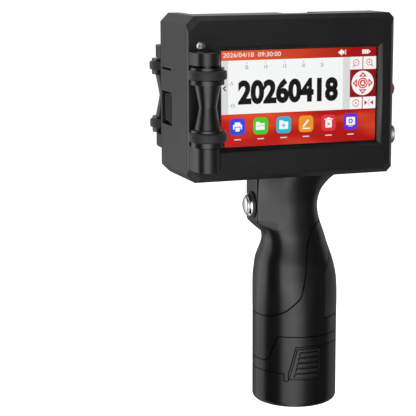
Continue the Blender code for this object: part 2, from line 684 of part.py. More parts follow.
def roller_bracket(end, side, bounds, sign, face):
    """One arm and its round boss. sign is -1 on the front of the head and 1 on the rear."""
    axis_x = at_x(ROLLER_FROM_LEFT)
    axis_y = face + sign * ROLLER_STANDOFF
    root = face + sign * GAP
    start, stop = (180, 360) if sign < 0 else (180, 0)
    outline = [(LEFT + FRONT_BEVEL_LEFT, root), (LEFT + FRONT_BEVEL_LEFT, axis_y - sign * 0.0030)]
    outline += arc((axis_x, axis_y), BOSS_RADIUS, start, stop, 12)
    outline += [(axis_x + BOSS_RADIUS, root)]
    low, high = bounds
    arm = prism(f"{end}_bracket_{side}", outline, "Z", bounds)
    peg_ends = sorted((root + sign * 0.001, face - sign * 0.0020))
    peg = cylinder(f"{end}_peg_{side}", BUSH_RADIUS, (axis_x, (low + high) / 2), "Y", peg_ends, 24)
    join(arm, peg)
    if side == "upper":
        bore = (low - OVERCUT, low + BUSH_LENGTH + GAP)
    elif end == "front":
        bore = (high - BUSH_LENGTH - 0.0010, high + OVERCUT)
    else:
        bore = (high - BUSH_LENGTH - GAP, high + OVERCUT)
    cut(arm, cylinder(f"{end}_bore_{side}", BUSH_RADIUS + GAP, (axis_x, axis_y), "Z", bore, 24))
    if side == "lower" and end == "front":
        room = (low - OVERCUT, high - BUSH_LENGTH - 0.0008)
        cut(arm, cylinder("encoder_room", ENCODER_BAY_RADIUS, (axis_x, axis_y), "Z", room, 32))
    finish(arm, SHELL_BLACK)
    if side == "upper":
        bush_z = (low + 0.0001, low + BUSH_LENGTH)
    else:
        bush_z = (high - BUSH_LENGTH, high - 0.0001)
    ring = [(BUSH_RADIUS, bush_z[1]), (BUSH_RADIUS, bush_z[0]),
            (AXLE_RADIUS + GAP, bush_z[0]), (AXLE_RADIUS + GAP, bush_z[1])]
    finish(turned(f"{end}_bush_{side}", ring, (axis_x, axis_y), steps=24, closed=True), STEEL)


def roller(end, sign, face, bosses):
    """A waisted guide roller with its axle and two rubber bands."""
    centre = (at_x(ROLLER_FROM_LEFT), face + sign * ROLLER_STANDOFF)
    low, high = at_z(ROLLER_BOTTOM), at_z(ROLLER_TOP)
    groove = BAND_HEIGHT + 2 * GAP
    wheel = RIM_ABOVE_BAND + groove + RIM_BELOW_BAND
    seats = {"upper": high - RIM_ABOVE_BAND - groove, "lower": low + RIM_BELOW_BAND}
    bore = AXLE_RADIUS + GAP
    profile = [(bore, high), (RIM_RADIUS, high)]
    for side, top in (("upper", high), ("lower", low + wheel)):
        bottom = seats[side]
        profile += [(RIM_RADIUS, top), (RIM_RADIUS, bottom + groove),
                    (BAND_SEAT_RADIUS, bottom + groove), (BAND_SEAT_RADIUS, bottom),
                    (RIM_RADIUS, bottom), (RIM_RADIUS, top - wheel)]
        if side == "upper":
            profile.append((WAIST_RADIUS, (low + high) / 2))
    profile.append((bore, low))
    del profile[1]
    hub = finish(turned(f"{end}_roller_hub", profile, centre, closed=True), GRIP_BLACK)
    pieces = [hub]
    for side, bottom in seats.items():
        band_low, band_high = bottom + GAP, bottom + GAP + BAND_HEIGHT
        ring = [(BAND_RADIUS, band_high), (BAND_RADIUS, band_low),
                (BAND_SEAT_RADIUS + GAP, band_low), (BAND_SEAT_RADIUS + GAP, band_high)]
        pieces.append(finish(turned(f"{end}_band_{side}", ring, centre, closed=True), RUBBER))
    depth = FRONT_LOWER_BOSS_HEIGHT - ENCODER_ROOM_BELOW_AXLE if end == "front" else BUSH_LENGTH
    reach, top = bosses["lower"][1] - depth, bosses["upper"][0] + BUSH_LENGTH
    axle = cylinder(f"{end}_roller_axle", AXLE_RADIUS, centre, "Z", (reach, top), 20)
    pieces.append(finish(axle, STEEL))
    if end == "front":
        disc = [(ENCODER_RADIUS, reach + 0.0012), (ENCODER_RADIUS, reach + 0.0004),
                (AXLE_RADIUS + GAP, reach + 0.0004), (AXLE_RADIUS + GAP, reach + 0.0012)]
        pieces.append(finish(turned("encoder_disc", disc, centre, steps=24, closed=True), STEEL))
    axis = pivot(f"{end}_roller_axis", (centre[0], centre[1], (low + high) / 2))
    hang(axis, *pieces)


def encoder(bosses):
    """The fixed half of the distance encoder, in the tall lower boss of the front roller."""
    centre = (at_x(ROLLER_FROM_LEFT), FRONT - ROLLER_STANDOFF)
    low = bosses["lower"][0]
    cap = cylinder("encoder_cap", ENCODER_BAY_RADIUS - GAP, centre, "Z",
                   (low, low + ENCODER_CAP_THICKNESS), 32)
    finish(cap, SHELL_BLACK)
    sensor_low = low + ENCODER_CAP_THICKNESS + GAP
    sensor = box("encoder_sensor", (centre[0] - 0.0020, centre[0] + 0.0020),
                 (centre[1] - 0.0032, centre[1] + 0.0032), (sensor_low, sensor_low + 0.0014))
    finish(sensor, GRIP_BLACK, smooth=False)


# ---------------------------------------------------------------- side fittings

def power_button():
    place = (at_y(SIDE_FITTING_BACK), at_z(POWER_UP))
    barrel = POWER_CAP + 0.0010
    bore = POWER_CAP + GAP
    flange_low, flange_high = RIGHT + GAP, RIGHT + 0.0014
    ring = [(bore, flange_high), (POWER_CAP + 0.0020, flange_high), (POWER_CAP + 0.0024, flange_low),
            (barrel, flange_low), (barrel, RIGHT - 0.0070), (bore, RIGHT - 0.0070)]
    finish(turned("power_button_bezel", ring, place, "X", closed=True), SHELL_BLACK)
    rise = POWER_PROUD - 0.0014
    dome = [(POWER_CAP * math.cos(a), RIGHT + 0.0014 + rise * math.sin(a))
            for a in (math.radians(90 - 15 * i) for i in range(7))]
    dome[0] = (0.0, dome[0][1])
    profile = dome + [(POWER_CAP, RIGHT - 0.0050), (0.0, RIGHT - 0.0050)]
    cap = finish(turned("power_button_cap", profile, place, "X"), RED)
    hang_x(pivot("power_press_axis", (RIGHT, place[0], place[1])), cap)


def hang_x(empty, obj):
    """Parents a piece that is turned about X to a pivot and leaves it where it is."""
    obj.parent = empty
    obj.matrix_parent_inverse = Matrix.Translation(-empty.location)


def charge_socket():
    place = (at_y(SIDE_FITTING_BACK), at_z(SOCKET_UP))
    barrel = SOCKET_RADIUS - 0.0014
    bore = SOCKET_RADIUS - 0.0026
    face, floor, tail = RIGHT + SOCKET_PROUD, RIGHT - 0.0040, RIGHT - 0.0090
    profile = [(0.0, floor), (bore, floor), (bore, face), (barrel, face),
               (barrel + 0.0003, face - 0.0004), (barrel + 0.0003, RIGHT + 0.0018),
               (SOCKET_RADIUS, RIGHT + 0.0016), (SOCKET_RADIUS, RIGHT + GAP),
               (barrel, RIGHT + GAP), (barrel, tail), (0.0, tail)]
    finish(turned("charge_socket", profile, place, "X"), CHROME)
    nut_high = RIGHT - WALL - GAP
    nut = cylinder("charge_socket_nut", SOCKET_RADIUS + 0.0016, place, "X",
                   (nut_high - 0.0025, nut_high), 6)
    cut(nut, cylinder("nut_bore", barrel + GAP, place, "X", (nut_high - 0.01, nut_high + 0.01), 32))
    finish(nut, STEEL, smooth=False)
    insert_low = floor + GAP
    insert = cylinder("charge_socket_insert", bore - GAP, place, "X",
                      (insert_low, insert_low + 0.0012), 24)
    finish(insert, GRIP_BLACK)


def panel_screw():
    place = panel_screw_place()
    head = [(0.0, 0.0009), (0.0014, 0.0008), (SCREW_HEAD, 0.0003), (SCREW_HEAD, 0.0)]
    face = FRONT - GAP
    profile = [(radius, face - height) for radius, height in head]
    profile += [(SCREW_SHANK, face), (SCREW_SHANK, FRONT + 0.0130), (0.0, FRONT + 0.0130)]
    screw = turned("panel_screw", profile, place, "Y", steps=24)
    for name, wide, tall in (("across", 0.0030, 0.0006), ("upright", 0.0006, 0.0030)):
        slot = box(f"screw_slot_{name}", (place[0] - wide / 2, place[0] + wide / 2),
                   (face - 0.0015, face - 0.0002), (place[1] - tall / 2, place[1] + tall / 2))
        cut(screw, slot)
    finish(screw, CHROME)


# ---------------------------------------------------------------- grip

def oval(z, left, right, half, points=40, square=2.0):
    """A ring of points at height z between two X limits, half is its reach along Y."""
    centre, reach = (left + right) / 2, (right - left) / 2
    ring = []
    for i in range(points):
        angle = 2 * math.pi * i / points
        c, s = math.cos(angle), math.sin(angle)
        ring.append((centre + reach * math.copysign(abs(c) ** (2 / square), c),
                     half * math.copysign(abs(s) ** (2 / square), s), z))
    return ring


# Height below the head, left and right reach, and half depth of the grip.
NECK_SECTIONS = (
    (0.0, -0.0240, 0.0262, 0.0212), (-0.0018, -0.0238, 0.0230, 0.0202),
    (-0.0038, -0.0236, 0.0201, 0.0192), (-0.0080, -0.0232, 0.0159, 0.0172),
    (-0.0120, -0.0228, 0.0135, 0.0160), (-0.0200, -0.0220, 0.0120, 0.0150),
    (-0.0280, -0.0212, 0.0134, 0.0155), (-0.0350, -0.0203, 0.0159, 0.0170),
    (-0.0394, -0.0196, 0.0173, 0.0178), (-0.0440, -0.0205, 0.0188, 0.0192),
    (-0.0480, -0.0221, 0.0202, 0.0206), (-0.0520, -0.0233, 0.0215, 0.0220),
    (-0.0570, -0.0239, 0.0228, 0.0230), (-0.0620, -0.0244, 0.0237, 0.0239),
    (-0.0700, -0.0247, 0.0245, 0.0246), (-0.0830, -0.0250, 0.0250, 0.0250),
)


def trigger_boss(name):
    """The flat-faced boss round the trigger: round corners in plan, and an underside that
    slopes back into the neck."""
    across, half = TRIGGER_BOSS_CORNER - TRIGGER_BOSS_REACH, TRIGGER_BOSS_HALF - TRIGGER_BOSS_CORNER
    inner, top = TRIGGER_BOSS_UNDERSIDE[-1][0], BASE + OVERCUT
    plan = [(inner, TRIGGER_BOSS_HALF)]
    plan += arc((across, half), TRIGGER_BOSS_CORNER, 90, 180, 5)
    plan += arc((across, -half), TRIGGER_BOSS_CORNER, 180, 270, 5)
    plan.append((inner, -TRIGGER_BOSS_HALF))
    boss = prism(f"{name}_trigger_boss", plan, "Z", (BASE - 0.0410, top))
    side = [(inner + OVERCUT, top + OVERCUT), (-0.0500, top + OVERCUT), (-0.0500, at_z(-0.0275))]
    side += [(x, at_z(z)) for x, z in TRIGGER_BOSS_UNDERSIDE]
    side.append((inner + OVERCUT, at_z(-0.0400)))
    return keep(boss, prism(f"{name}_boss_side", side, "Y", (-0.03, 0.03)))


def grip_solid(name):
    """The whole outer shape of the grip above the battery, hollowed for stem and wires."""
    rings = [oval(at_z(z), left, right, half) for z, left, right, half in NECK_SECTIONS]
    last = at_z(BATTERY_LOW - 0.0060)
    rings.append(oval(last, -GRIP_RADIUS, GRIP_RADIUS, GRIP_RADIUS))
    solid = loft(name, rings[::-1])
    ledge = STEM_TOP + 0.0010
    hollow_profile = [
        (0.0, at_z(-0.0060)), (0.0095, at_z(-0.0060)), (0.0095, at_z(-0.0310)),
        (0.0135, at_z(-0.0370)), (0.0145, at_z(-0.0440)), (0.0190, at_z(-0.0600)),
        (0.0190, ledge + 0.0042), (0.0207, ledge + 0.0042), (0.0207, ledge),
        (STEM_BORE, ledge), (STEM_BORE, last - OVERCUT), (0.0, last - OVERCUT)]
    hollow = turned(f"{name}_hollow", hollow_profile, (0.0, 0.0), steps=40)
    wires = cylinder(f"{name}_wires", 0.0050, (0.0, 0.0), "Z", (at_z(-0.0080), BASE + OVERCUT), 24)
    boss = trigger_boss(name)
    crop = box(f"{name}_boss_top", (-0.05, 0.05), (-0.05, 0.05), (BASE, BASE + 0.03))
    barrel = cylinder(f"{name}_trigger_bore", TRIGGER_BARREL + GAP, (0.0, TRIGGER_Z), "X",
                      (-TRIGGER_BOSS_REACH - 0.01, -0.0050), 32)
    join(solid, boss)
    cut(solid, crop, hollow, wires, barrel)
    return solid


def below(name, points, drop=0.0, shift=0.0):
    """A deep prism under a stepped line of (x, height below the head)."""
    line = [(x + shift, at_z(z) - drop) for x, z in points]
    return prism(name, line + [(0.08, -0.05), (-0.08, -0.05)], "Y", (-0.05, 0.05))


SLEEVE_LINE = ((-0.0800, SLEEVE_TOP_LEFT), (-0.0213, SLEEVE_TOP_LEFT), (-0.0140, -0.0787),
               (-0.0063, -0.0710), (-0.0037, -0.0610), (-0.0014, -0.0480), (0.0005, -0.0385),
               (0.0048, -0.0310), (0.0125, -0.0265), (0.0800, -0.0260))
COLLAR_LINE = ((-0.0800, COLLAR_LOW), (-0.0221, COLLAR_LOW), (-0.0182, COLLAR_HIGH),
               (0.0800, COLLAR_HIGH))


def battery_line(gap):
    """The stepped top edge of the battery, under a tab of the collar."""
    tab_low = BATTERY_LOW - 0.0044 - gap
    return ((-0.0800, BATTERY_LOW - gap), (-0.0145 - gap, BATTERY_LOW - gap), (-0.0145 - gap, tab_low),
            (-0.0128 + gap, tab_low), (-0.0128 + gap, BATTERY_LOW - gap),
            (-0.0088 + gap, BATTERY_HIGH - gap), (0.0800, BATTERY_HIGH - gap))


def strap_region(name, grow):
    outline = [(0.08, at_z(STRAP_TOP) + grow), (0.0175 - grow, at_z(STRAP_TOP) + grow),
               (0.0160 - grow, at_z(-0.0483)), (0.0101 - grow, at_z(-0.0575)),
               (0.0096 - grow, at_z(STRAP_BOTTOM) - grow), (0.08, at_z(STRAP_BOTTOM) - grow)]
    return prism(name, outline, "Y", (-0.05, 0.05))


def grip_shells():
    shell = grip_solid("grip_shell")
    cut(shell, below("sleeve_region", SLEEVE_LINE))
    for side, x in handle_screw_places().items():
        hole = cylinder(f"grip_screw_hole_{side}", 0.0016 + GAP, (x, 0.0), "Z",
                        (at_z(-0.0066), BASE + OVERCUT), 16)
        cut(shell, hole)
    finish(shell, GRIP_BLACK)
    sleeve = grip_solid("grip_sleeve")
    keep(sleeve, below("sleeve_keep", SLEEVE_LINE, drop=GAP, shift=GAP))
    cut(sleeve, below("collar_region", COLLAR_LINE), strap_region("strap_pocket", GAP))
    finish(sleeve, GRIP_BLACK)
    strap = grip_solid("grip_backstrap")
    keep(strap, strap_region("strap_keep", 0.0))
    finish(strap, RUBBER)
    collar = grip_solid("battery_collar")
    keep(collar, below("collar_keep", COLLAR_LINE, drop=GAP, shift=GAP))
    cut(collar, below("battery_region", battery_line(0.0)))
    finish(collar, GRIP_BLACK)


def handle_screws():
    for side, x in handle_screw_places().items():
        low, seat = at_z(-0.0060), BASE + WALL + GAP
        profile = [(0.0, seat + 0.0022), (0.0026, seat + 0.0018), (0.0030, seat + 0.0010),
                   (0.0030, seat), (0.0016, seat), (0.0016, low), (0.0, low)]
        finish(turned(f"handle_screw_{side}", profile, (x, 0.0), steps=20), STEEL)


def button_outline(grow):
    left_low, left_high = -0.0119 - grow, -0.0076 - grow
    right = 0.0064 + grow
    low, high = at_z(BATTERY_HIGH) - 0.0196 - grow, at_z(BATTERY_HIGH) - 0.0018 + grow
    return [(left_low, low), (right, low), (right, high), (left_high, high)]


def battery():
    """The battery pack, which slides down out of the grip, with its two release buttons."""
    case = cylinder("battery_case", GRIP_RADIUS, (0.0, 0.0), "Z",
                    (0.0, at_z(BATTERY_HIGH) + 0.002), 48)
    chamfer = case.modifiers.new("base_edge", "BEVEL")
    chamfer.width = BASE_EDGE
    chamfer.segments = 3
    chamfer.limit_method = "ANGLE"
    keep(case, below("battery_keep", battery_line(GAP)))
    stem = cylinder("battery_stem", STEM_RADIUS, (0.0, 0.0), "Z", (BASE_EDGE, STEM_TOP), 48)
    bore = cylinder("cell_bore", CELL_BORE, (0.0, 0.0), "Z",
                    (BATTERY_FLOOR, STEM_TOP + OVERCUT), 40)
    join(case, stem)
    cut(case, bore)
    buttons = {}
    pieces = [case]
    for side, sign in (("front", -1), ("rear", 1)):
        ends = sorted((sign * 0.010, sign * 0.030))
        pocket = prism(f"button_pocket_{side}", button_outline(GAP), "Y", ends)
        tall = (-0.01, 0.1)
        cut(pocket, cylinder(f"pocket_core_{side}", POCKET_RADIUS, (0.0, 0.0), "Z", tall, 48))
        cut(case, pocket)
        button = prism(f"release_button_{side}", button_outline(0.0), "Y", ends)
        outer = GRIP_RADIUS + BUTTON_PROUD
        keep(button, cylinder(f"button_face_{side}", outer, (0.0, 0.0), "Z", tall, 48))
        back = outer - BUTTON_THICKNESS
        cut(button, cylinder(f"button_back_{side}", back, (0.0, 0.0), "Z", (-0.02, 0.2), 48))
        finish(button, GRIP_BLACK)
        buttons[side] = button
    finish(case, GRIP_BLACK)
    spread = 2 * CELL_RADIUS / math.sqrt(3) + 0.0002
    low = BATTERY_FLOOR + GAP
    for i in range(3):
        angle = math.radians(90 + 120 * i)
        place = (spread * math.cos(angle), spread * math.sin(angle))
        cell = cylinder(f"battery_cell_{i + 1}", CELL_RADIUS - 0.0001, place, "Z",
                        (low, low + CELL_LENGTH), 24)
        pieces.append(finish(cell, CELL_WRAP))
    plate_low = low + CELL_LENGTH + GAP
    plate = cylinder("battery_contact_plate", CELL_BORE - GAP, (0.0, 0.0), "Z",
                     (plate_low, STEM_TOP), 40)
    pieces.append(finish(plate, BOARD_GREEN))
    slide = pivot("battery_slide_axis", (0.0, 0.0, 0.0))
    for piece in pieces:
        piece.parent = slide
    for side, button in buttons.items():
        press = pivot(f"release_{side}_axis", button.location)
        hang(press, button)
        press.parent = slide
    block_low = STEM_TOP + 0.0010 + GAP
    block = cylinder("terminal_block", 0.0207 - GAP, (0.0, 0.0), "Z",
                     (block_low, block_low + 0.0035), 40)
    finish(block, SHELL_BLACK)


def trigger():
    place = (0.0, TRIGGER_Z)
    face = -TRIGGER_BOSS_REACH - GAP
    bore = TRIGGER_CAP + GAP
    step, lip = face - 0.0006, face - TRIGGER_RING_PROUD
    ring = [(bore, -0.0140), (TRIGGER_BARREL, -0.0140), (TRIGGER_BARREL, face),
            (TRIGGER_FLANGE, face), (TRIGGER_FLANGE, step), (TRIGGER_RING, step),
            (TRIGGER_RING, lip + 0.0008), (TRIGGER_BARREL, lip), (bore, lip)]
    finish(turned("trigger_bezel", ring, place, "X", closed=True), CHROME)
    cap = cylinder("trigger_button", TRIGGER_CAP, place, "X", (-TRIGGER_REACH, -0.0160), 32)
    edge = cap.modifiers.new("edge", "BEVEL")
    edge.width = 0.0005
    edge.segments = 2
    edge.limit_method = "ANGLE"
    finish(cap, CHROME)
    hang(pivot("trigger_press_axis", (-TRIGGER_REACH, 0.0, TRIGGER_Z)), cap)
    switch = cylinder("trigger_switch", TRIGGER_BARREL, place, "X", (-0.0137, -0.0085), 24)
    finish(switch, GRIP_BLACK)


front_panel()
main_housing()
screen_stack()
cartridge()
cartridge_latch()
for boss_side, boss_bounds in front_bosses().items():
    roller_bracket("front", boss_side, boss_bounds, -1, FRONT)
for boss_side, boss_bounds in rear_bosses().items():
    roller_bracket("rear", boss_side, boss_bounds, 1, REAR)
roller("front", -1, FRONT, front_bosses())
roller("rear", 1, REAR, rear_bosses())
encoder(front_bosses())
power_button()
charge_socket()
panel_screw()
grip_shells()
handle_screws()
battery()
trigger()
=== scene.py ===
"""Studio looks of a handheld date code inkjet printer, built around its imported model.

Each sub-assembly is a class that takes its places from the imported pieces, builds its
meshes in the model's own frame and hands them to the bodies that they ride on.
"""
import sys
import logging
import math
from collections.abc import Callable, Mapping, Sequence
from dataclasses import dataclass
from enum import Enum

import bmesh
import bpy
from mathutils import Matrix, Vector


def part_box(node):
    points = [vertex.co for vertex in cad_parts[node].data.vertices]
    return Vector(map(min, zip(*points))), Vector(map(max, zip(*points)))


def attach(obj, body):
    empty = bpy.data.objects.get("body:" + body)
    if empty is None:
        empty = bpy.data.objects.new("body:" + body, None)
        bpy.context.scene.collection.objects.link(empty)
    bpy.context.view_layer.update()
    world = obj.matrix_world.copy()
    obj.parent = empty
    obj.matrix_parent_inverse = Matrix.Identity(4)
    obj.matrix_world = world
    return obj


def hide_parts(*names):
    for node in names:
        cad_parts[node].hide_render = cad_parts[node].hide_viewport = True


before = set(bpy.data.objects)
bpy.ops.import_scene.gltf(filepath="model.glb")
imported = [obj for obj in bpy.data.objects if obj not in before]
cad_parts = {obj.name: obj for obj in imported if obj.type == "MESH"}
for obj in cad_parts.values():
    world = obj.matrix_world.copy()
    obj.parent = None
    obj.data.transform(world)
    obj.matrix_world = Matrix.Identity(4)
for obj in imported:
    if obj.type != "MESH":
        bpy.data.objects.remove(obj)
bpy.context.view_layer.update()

LOG = logging.getLogger("printer_looks")
MM = 0.001
TURN = 2 * math.pi
SHARP = 32.0

Colour = tuple[float, float, float]
Flat = tuple[float, float]
Outline = list[Flat]


class Axis(Enum):
    """The axis of the model that a turned or extruded shape runs along."""

    X = "X"
    Y = "Y"
    Z = "Z"


class Cut(Enum):
    """How a tool changes the solid that it meets."""

    AWAY = "DIFFERENCE"
    SHARED = "INTERSECT"
    ADDED = "UNION"


class Body(Enum):
    """The moving bodies of the printer, by their packed names."""

    PRINTER = "printer"
    FRONT_ROLLER = "front_roller"
    REAR_ROLLER = "rear_roller"
    CARTRIDGE = "cartridge"
    LATCH = "latch"
    POWER_BUTTON = "power_button"
    TRIGGER = "trigger"
    BATTERY = "battery"
    RELEASE_FRONT = "release_front"
    RELEASE_REAR = "release_rear"


def from_screen(red: int, green: int, blue: int) -> Colour:
    """Turns a display colour into a linear one.

    Args:
        red: Red, from 0 to 255.
        green: Green, from 0 to 255.
        blue: Blue, from 0 to 255.

    Returns:
        The linear colour, from 0 to 1.
    """
    shares = (value / 255 for value in (red, green, blue))
    return tuple(s / 12.92 if s <= 0.04045 else ((s + 0.055) / 1.055) ** 2.4 for s in shares)


# ---------------------------------------------------------------- shader groups

class Wiring:
    """A node tree that is being written."""

    def __init__(self, tree: bpy.types.NodeTree) -> None:
        """Keeps the tree."""
        self.tree = tree

    def place(self, kind: str, values: Mapping[str | int, object] | None = None,
              **settings: object) -> bpy.types.Node:
        """Adds a node.

        Args:
            kind: The node's type name.
            values: What each named or numbered input gets: a socket or a constant.
            **settings: The node's own settings.

        Returns:
            The new node.
        """
        node = self.tree.nodes.new(kind)
        for name, value in settings.items():
            setattr(node, name, value)
        for name, value in (values or {}).items():
            if isinstance(value, bpy.types.NodeSocket):
                self.tree.links.new(value, node.inputs[name])
            else:
                node.inputs[name].default_value = value
        return node

    def join(self, node: bpy.types.Node, **values: bpy.types.NodeSocket) -> None:
        """Links sockets to a node's inputs, named with _ for each space."""
        for name, value in values.items():
            self.tree.links.new(value, node.inputs[name.replace("_", " ")])

    def sum(self, operation: str, *terms: object) -> bpy.types.NodeSocket:
        """Adds a Math node with these terms and returns its result."""
        kind = "ShaderNodeMath"
        return self.place(kind, dict(enumerate(terms)), operation=operation).outputs[0]

    def spread(self, value: object, low: float, high: float, to_low: float = 0.0,
               to_high: float = 1.0) -> bpy.types.NodeSocket:
        """Adds a clamped Map Range node and returns its result."""
        values = {0: value, 1: low, 2: high, 3: to_low, 4: to_high}
        return self.place("ShaderNodeMapRange", values, clamp=True).outputs[0]

    def here(self) -> bpy.types.NodeSocket:
        """The place on the piece, in Object coordinates."""
        return self.place("ShaderNodeTexCoord").outputs["Object"]

    def part(self, vector: bpy.types.NodeSocket, letter: str) -> bpy.types.NodeSocket:
        """One of the three parts of a vector."""
        return self.place("ShaderNodeSeparateXYZ", {0: vector}).outputs[letter]

    def vector(self, x: object = 0.0, y: object = 0.0, z: object = 0.0) -> bpy.types.NodeSocket:
        """A vector from three numbers or sockets."""
        return self.place("ShaderNodeCombineXYZ", {0: x, 1: y, 2: z}).outputs[0]

    def noise(self, vector: bpy.types.NodeSocket, **values: object) -> bpy.types.NodeSocket:
        """The level of a noise texture at a place."""
        return self.place("ShaderNodeTexNoise", {"Vector": vector, **values}).outputs[0]

    def mix(self, share: object, first: object, second: object) -> bpy.types.NodeSocket:
        """A blend of two colours, each a socket or a linear colour."""
        ends = [end if isinstance(end, bpy.types.NodeSocket) else (*end, 1.0) for end in (first, second)]
        values = {0: share, 6: ends[0], 7: ends[1]}
        return self.place("ShaderNodeMix", values, data_type="RGBA").outputs[2]

    def group(self, tree: bpy.types.NodeTree, **values: object) -> bpy.types.Node:
        """Places a shader group with values of its own."""
        return self.place("ShaderNodeGroup", values, node_tree=tree)

    def bump(self, height: bpy.types.NodeSocket, strength: float, distance: float
             ) -> bpy.types.NodeSocket:
        """The normal of a surface with a fine relief."""
        values = {"Height": height, "Strength": strength, "Distance": distance}
        return self.place("ShaderNodeBump", values).outputs[0]


def shader_group(name: str, inputs: Mapping[str, float], outputs: Sequence[str]
                 ) -> tuple[Wiring, bpy.types.Node, bpy.types.Node]:
    """Starts a shader node group.

    Args:
        name: The group's name.
        inputs: Its inputs and their usual values.
        outputs: Its outputs.

    Returns:
        The group's wiring, its input node and its output node.
    """
    tree = bpy.data.node_groups.new(name, "ShaderNodeTree")
    for label, usual in inputs.items():
        socket = tree.interface.new_socket(name=label, in_out="INPUT", socket_type="NodeSocketFloat")
        socket.default_value = usual
    for label in outputs:
        tree.interface.new_socket(name=label, in_out="OUTPUT", socket_type="NodeSocketFloat")
    wiring = Wiring(tree)
    return wiring, wiring.place("NodeGroupInput"), wiring.place("NodeGroupOutput")


def moulded_grain() -> bpy.types.NodeTree:
    """The spark-eroded grain of a moulding: a height and a slow mottle."""
    inputs = {"Scale": 2500.0, "Mottle Scale": 60.0}
    wiring, given, result = shader_group("moulded_grain", inputs, ("Height", "Mottle"))
    scale, spot = given.outputs["Scale"], wiring.here()
    fine = wiring.noise(spot, Scale=scale, Detail=2.0)
    wider = wiring.sum("MULTIPLY", scale, 0.6)
    cells = wiring.place("ShaderNodeTexVoronoi", {"Vector": spot, "Scale": wider})
    height = wiring.sum("ADD", fine, wiring.sum("MULTIPLY", cells.outputs[0], 0.7))
    slow = wiring.noise(spot, Scale=given.outputs["Mottle Scale"], Detail=3.0)
    wiring.join(result, Height=height, Mottle=wiring.spread(slow, 0.3, 0.7))
    return wiring.tree


def edge_rub_highlight() -> bpy.types.NodeTree:
    """Where handling polishes an edge, which also carries a painted highlight: high on convex edges, broken
    up by noise.
    """
    wiring, given, result = shader_group("edge_rub_highlight", {"Amount": 0.3, "Start": 0.53}, ("Mask",))
    point = wiring.place("ShaderNodeNewGeometry").outputs["Pointiness"]
    broken = wiring.spread(wiring.noise(wiring.here(), Scale=180.0, Detail=3.0), 0.35, 0.65, 0.35, 1.0)
    edge = wiring.spread(wiring.sum("SUBTRACT", point, given.outputs["Start"]), 0.0, 0.08)
    worn_and_highlit = wiring.sum("MULTIPLY", edge, broken)
    wiring.join(result, Mask=wiring.sum("MULTIPLY", worn_and_highlit, given.outputs["Amount"]))
    return wiring.tree


def settled_dust() -> bpy.types.NodeTree:
    """A trace of dust on what faces up."""
    wiring, given, result = shader_group("settled_dust", {"Amount": 0.02, "Scale": 240.0}, ("Mask",))
    up = wiring.part(wiring.place("ShaderNodeNewGeometry").outputs["Normal"], "Z")
    specks = wiring.spread(wiring.noise(wiring.here(), Scale=given.outputs["Scale"], Detail=4.0), 0.42, 0.7)
    level = wiring.sum("MULTIPLY", wiring.spread(up, 0.3, 1.0), specks)
    wiring.join(result, Mask=wiring.sum("MULTIPLY", level, given.outputs["Amount"]))
    return wiring.tree


def finger_smudges() -> bpy.types.NodeTree:
    """Slow changes in gloss, as hands leave on a surface."""
    wiring, given, result = shader_group("finger_smudges", {"Scale": 45.0, "Amount": 0.06}, ("Shift",))
    noise = wiring.noise(wiring.here(), Scale=given.outputs["Scale"], Detail=4.0, Distortion=0.8)
    centred = wiring.sum("SUBTRACT", noise, 0.5)
    wiring.join(result, Shift=wiring.sum("MULTIPLY", centred, given.outputs["Amount"]))
    return wiring.tree


GRAIN = moulded_grain()
RUB_AND_HIGHLIGHT = edge_rub_highlight()
DUST = settled_dust()
SMUDGES = finger_smudges()


# ---------------------------------------------------------------- finishes

def toned(colour: Colour, gain: float, lift: float = 0.0) -> Colour:
    """A colour made lighter or darker, and no brighter than white."""
    return tuple(min(1.0, channel * gain + lift) for channel in colour)


class Finish:
    """A material with its Principled shader, which each finish then dresses."""

    name: str

    def start(self, **constants: object) -> tuple[bpy.types.Material, Wiring, bpy.types.Node]:
        """Makes the bare material.

        Args:
            **constants: Values of the shader's inputs, with _ for each space.

        Returns:
            The material, its wiring and its shader.
        """
        made = bpy.data.materials.new(self.name)
        made.use_nodes = True
        shader = made.node_tree.nodes["Principled BSDF"]
        for name, value in constants.items():
            shader.inputs[name.replace("_", " ")].default_value = value
        return made, Wiring(made.node_tree), shader

    def material(self) -> bpy.types.Material:
        """Makes the finished material."""
        raise NotImplementedError


@dataclass(frozen=True)
class Moulding(Finish):
    """Moulded plastic or rubber with grain, rubbed edges that carry a painted highlight, smudges and a trace
    of dust.
    """

    name: str
    colour: Colour
    roughness: float
    grain: float = 2500.0
    depth: float = 0.12
    rub_and_highlight: float = 0.25
    dust: float = 0.02
    specular: float = 0.5
    sheen: float = 0.0
    dust_colour: Colour = (0.5, 0.48, 0.45)

    def material(self) -> bpy.types.Material:
        """Makes the finished material."""
        made, wiring, shader = self.start(Specular_IOR_Level=self.specular, Sheen_Weight=self.sheen,
                                          Sheen_Roughness=0.4)
        grain = wiring.group(GRAIN, Scale=self.grain)
        rub_and_highlight = wiring.group(RUB_AND_HIGHLIGHT, Amount=self.rub_and_highlight).outputs["Mask"]
        dust = wiring.group(DUST, Amount=self.dust).outputs["Mask"]
        shift = wiring.group(SMUDGES).outputs["Shift"]
        body = wiring.mix(grain.outputs["Mottle"], toned(self.colour, 0.8), toned(self.colour, 1.2))
        # Rubbed edges get a lighter colour, which is a painted highlight; the lower roughness below is real
        # polish.
        dusty = wiring.mix(dust, wiring.mix(rub_and_highlight, body, toned(self.colour, 2.0, 0.02)), self.dust_colour)
        polished = wiring.sum("MULTIPLY", rub_and_highlight, -0.25)
        rough = wiring.sum("ADD", wiring.sum("ADD", shift, self.roughness), polished)
        relief = wiring.bump(grain.outputs["Height"], self.depth, 0.0002)
        wiring.join(shader, Base_Color=dusty, Roughness=rough, Normal=relief)
        return made


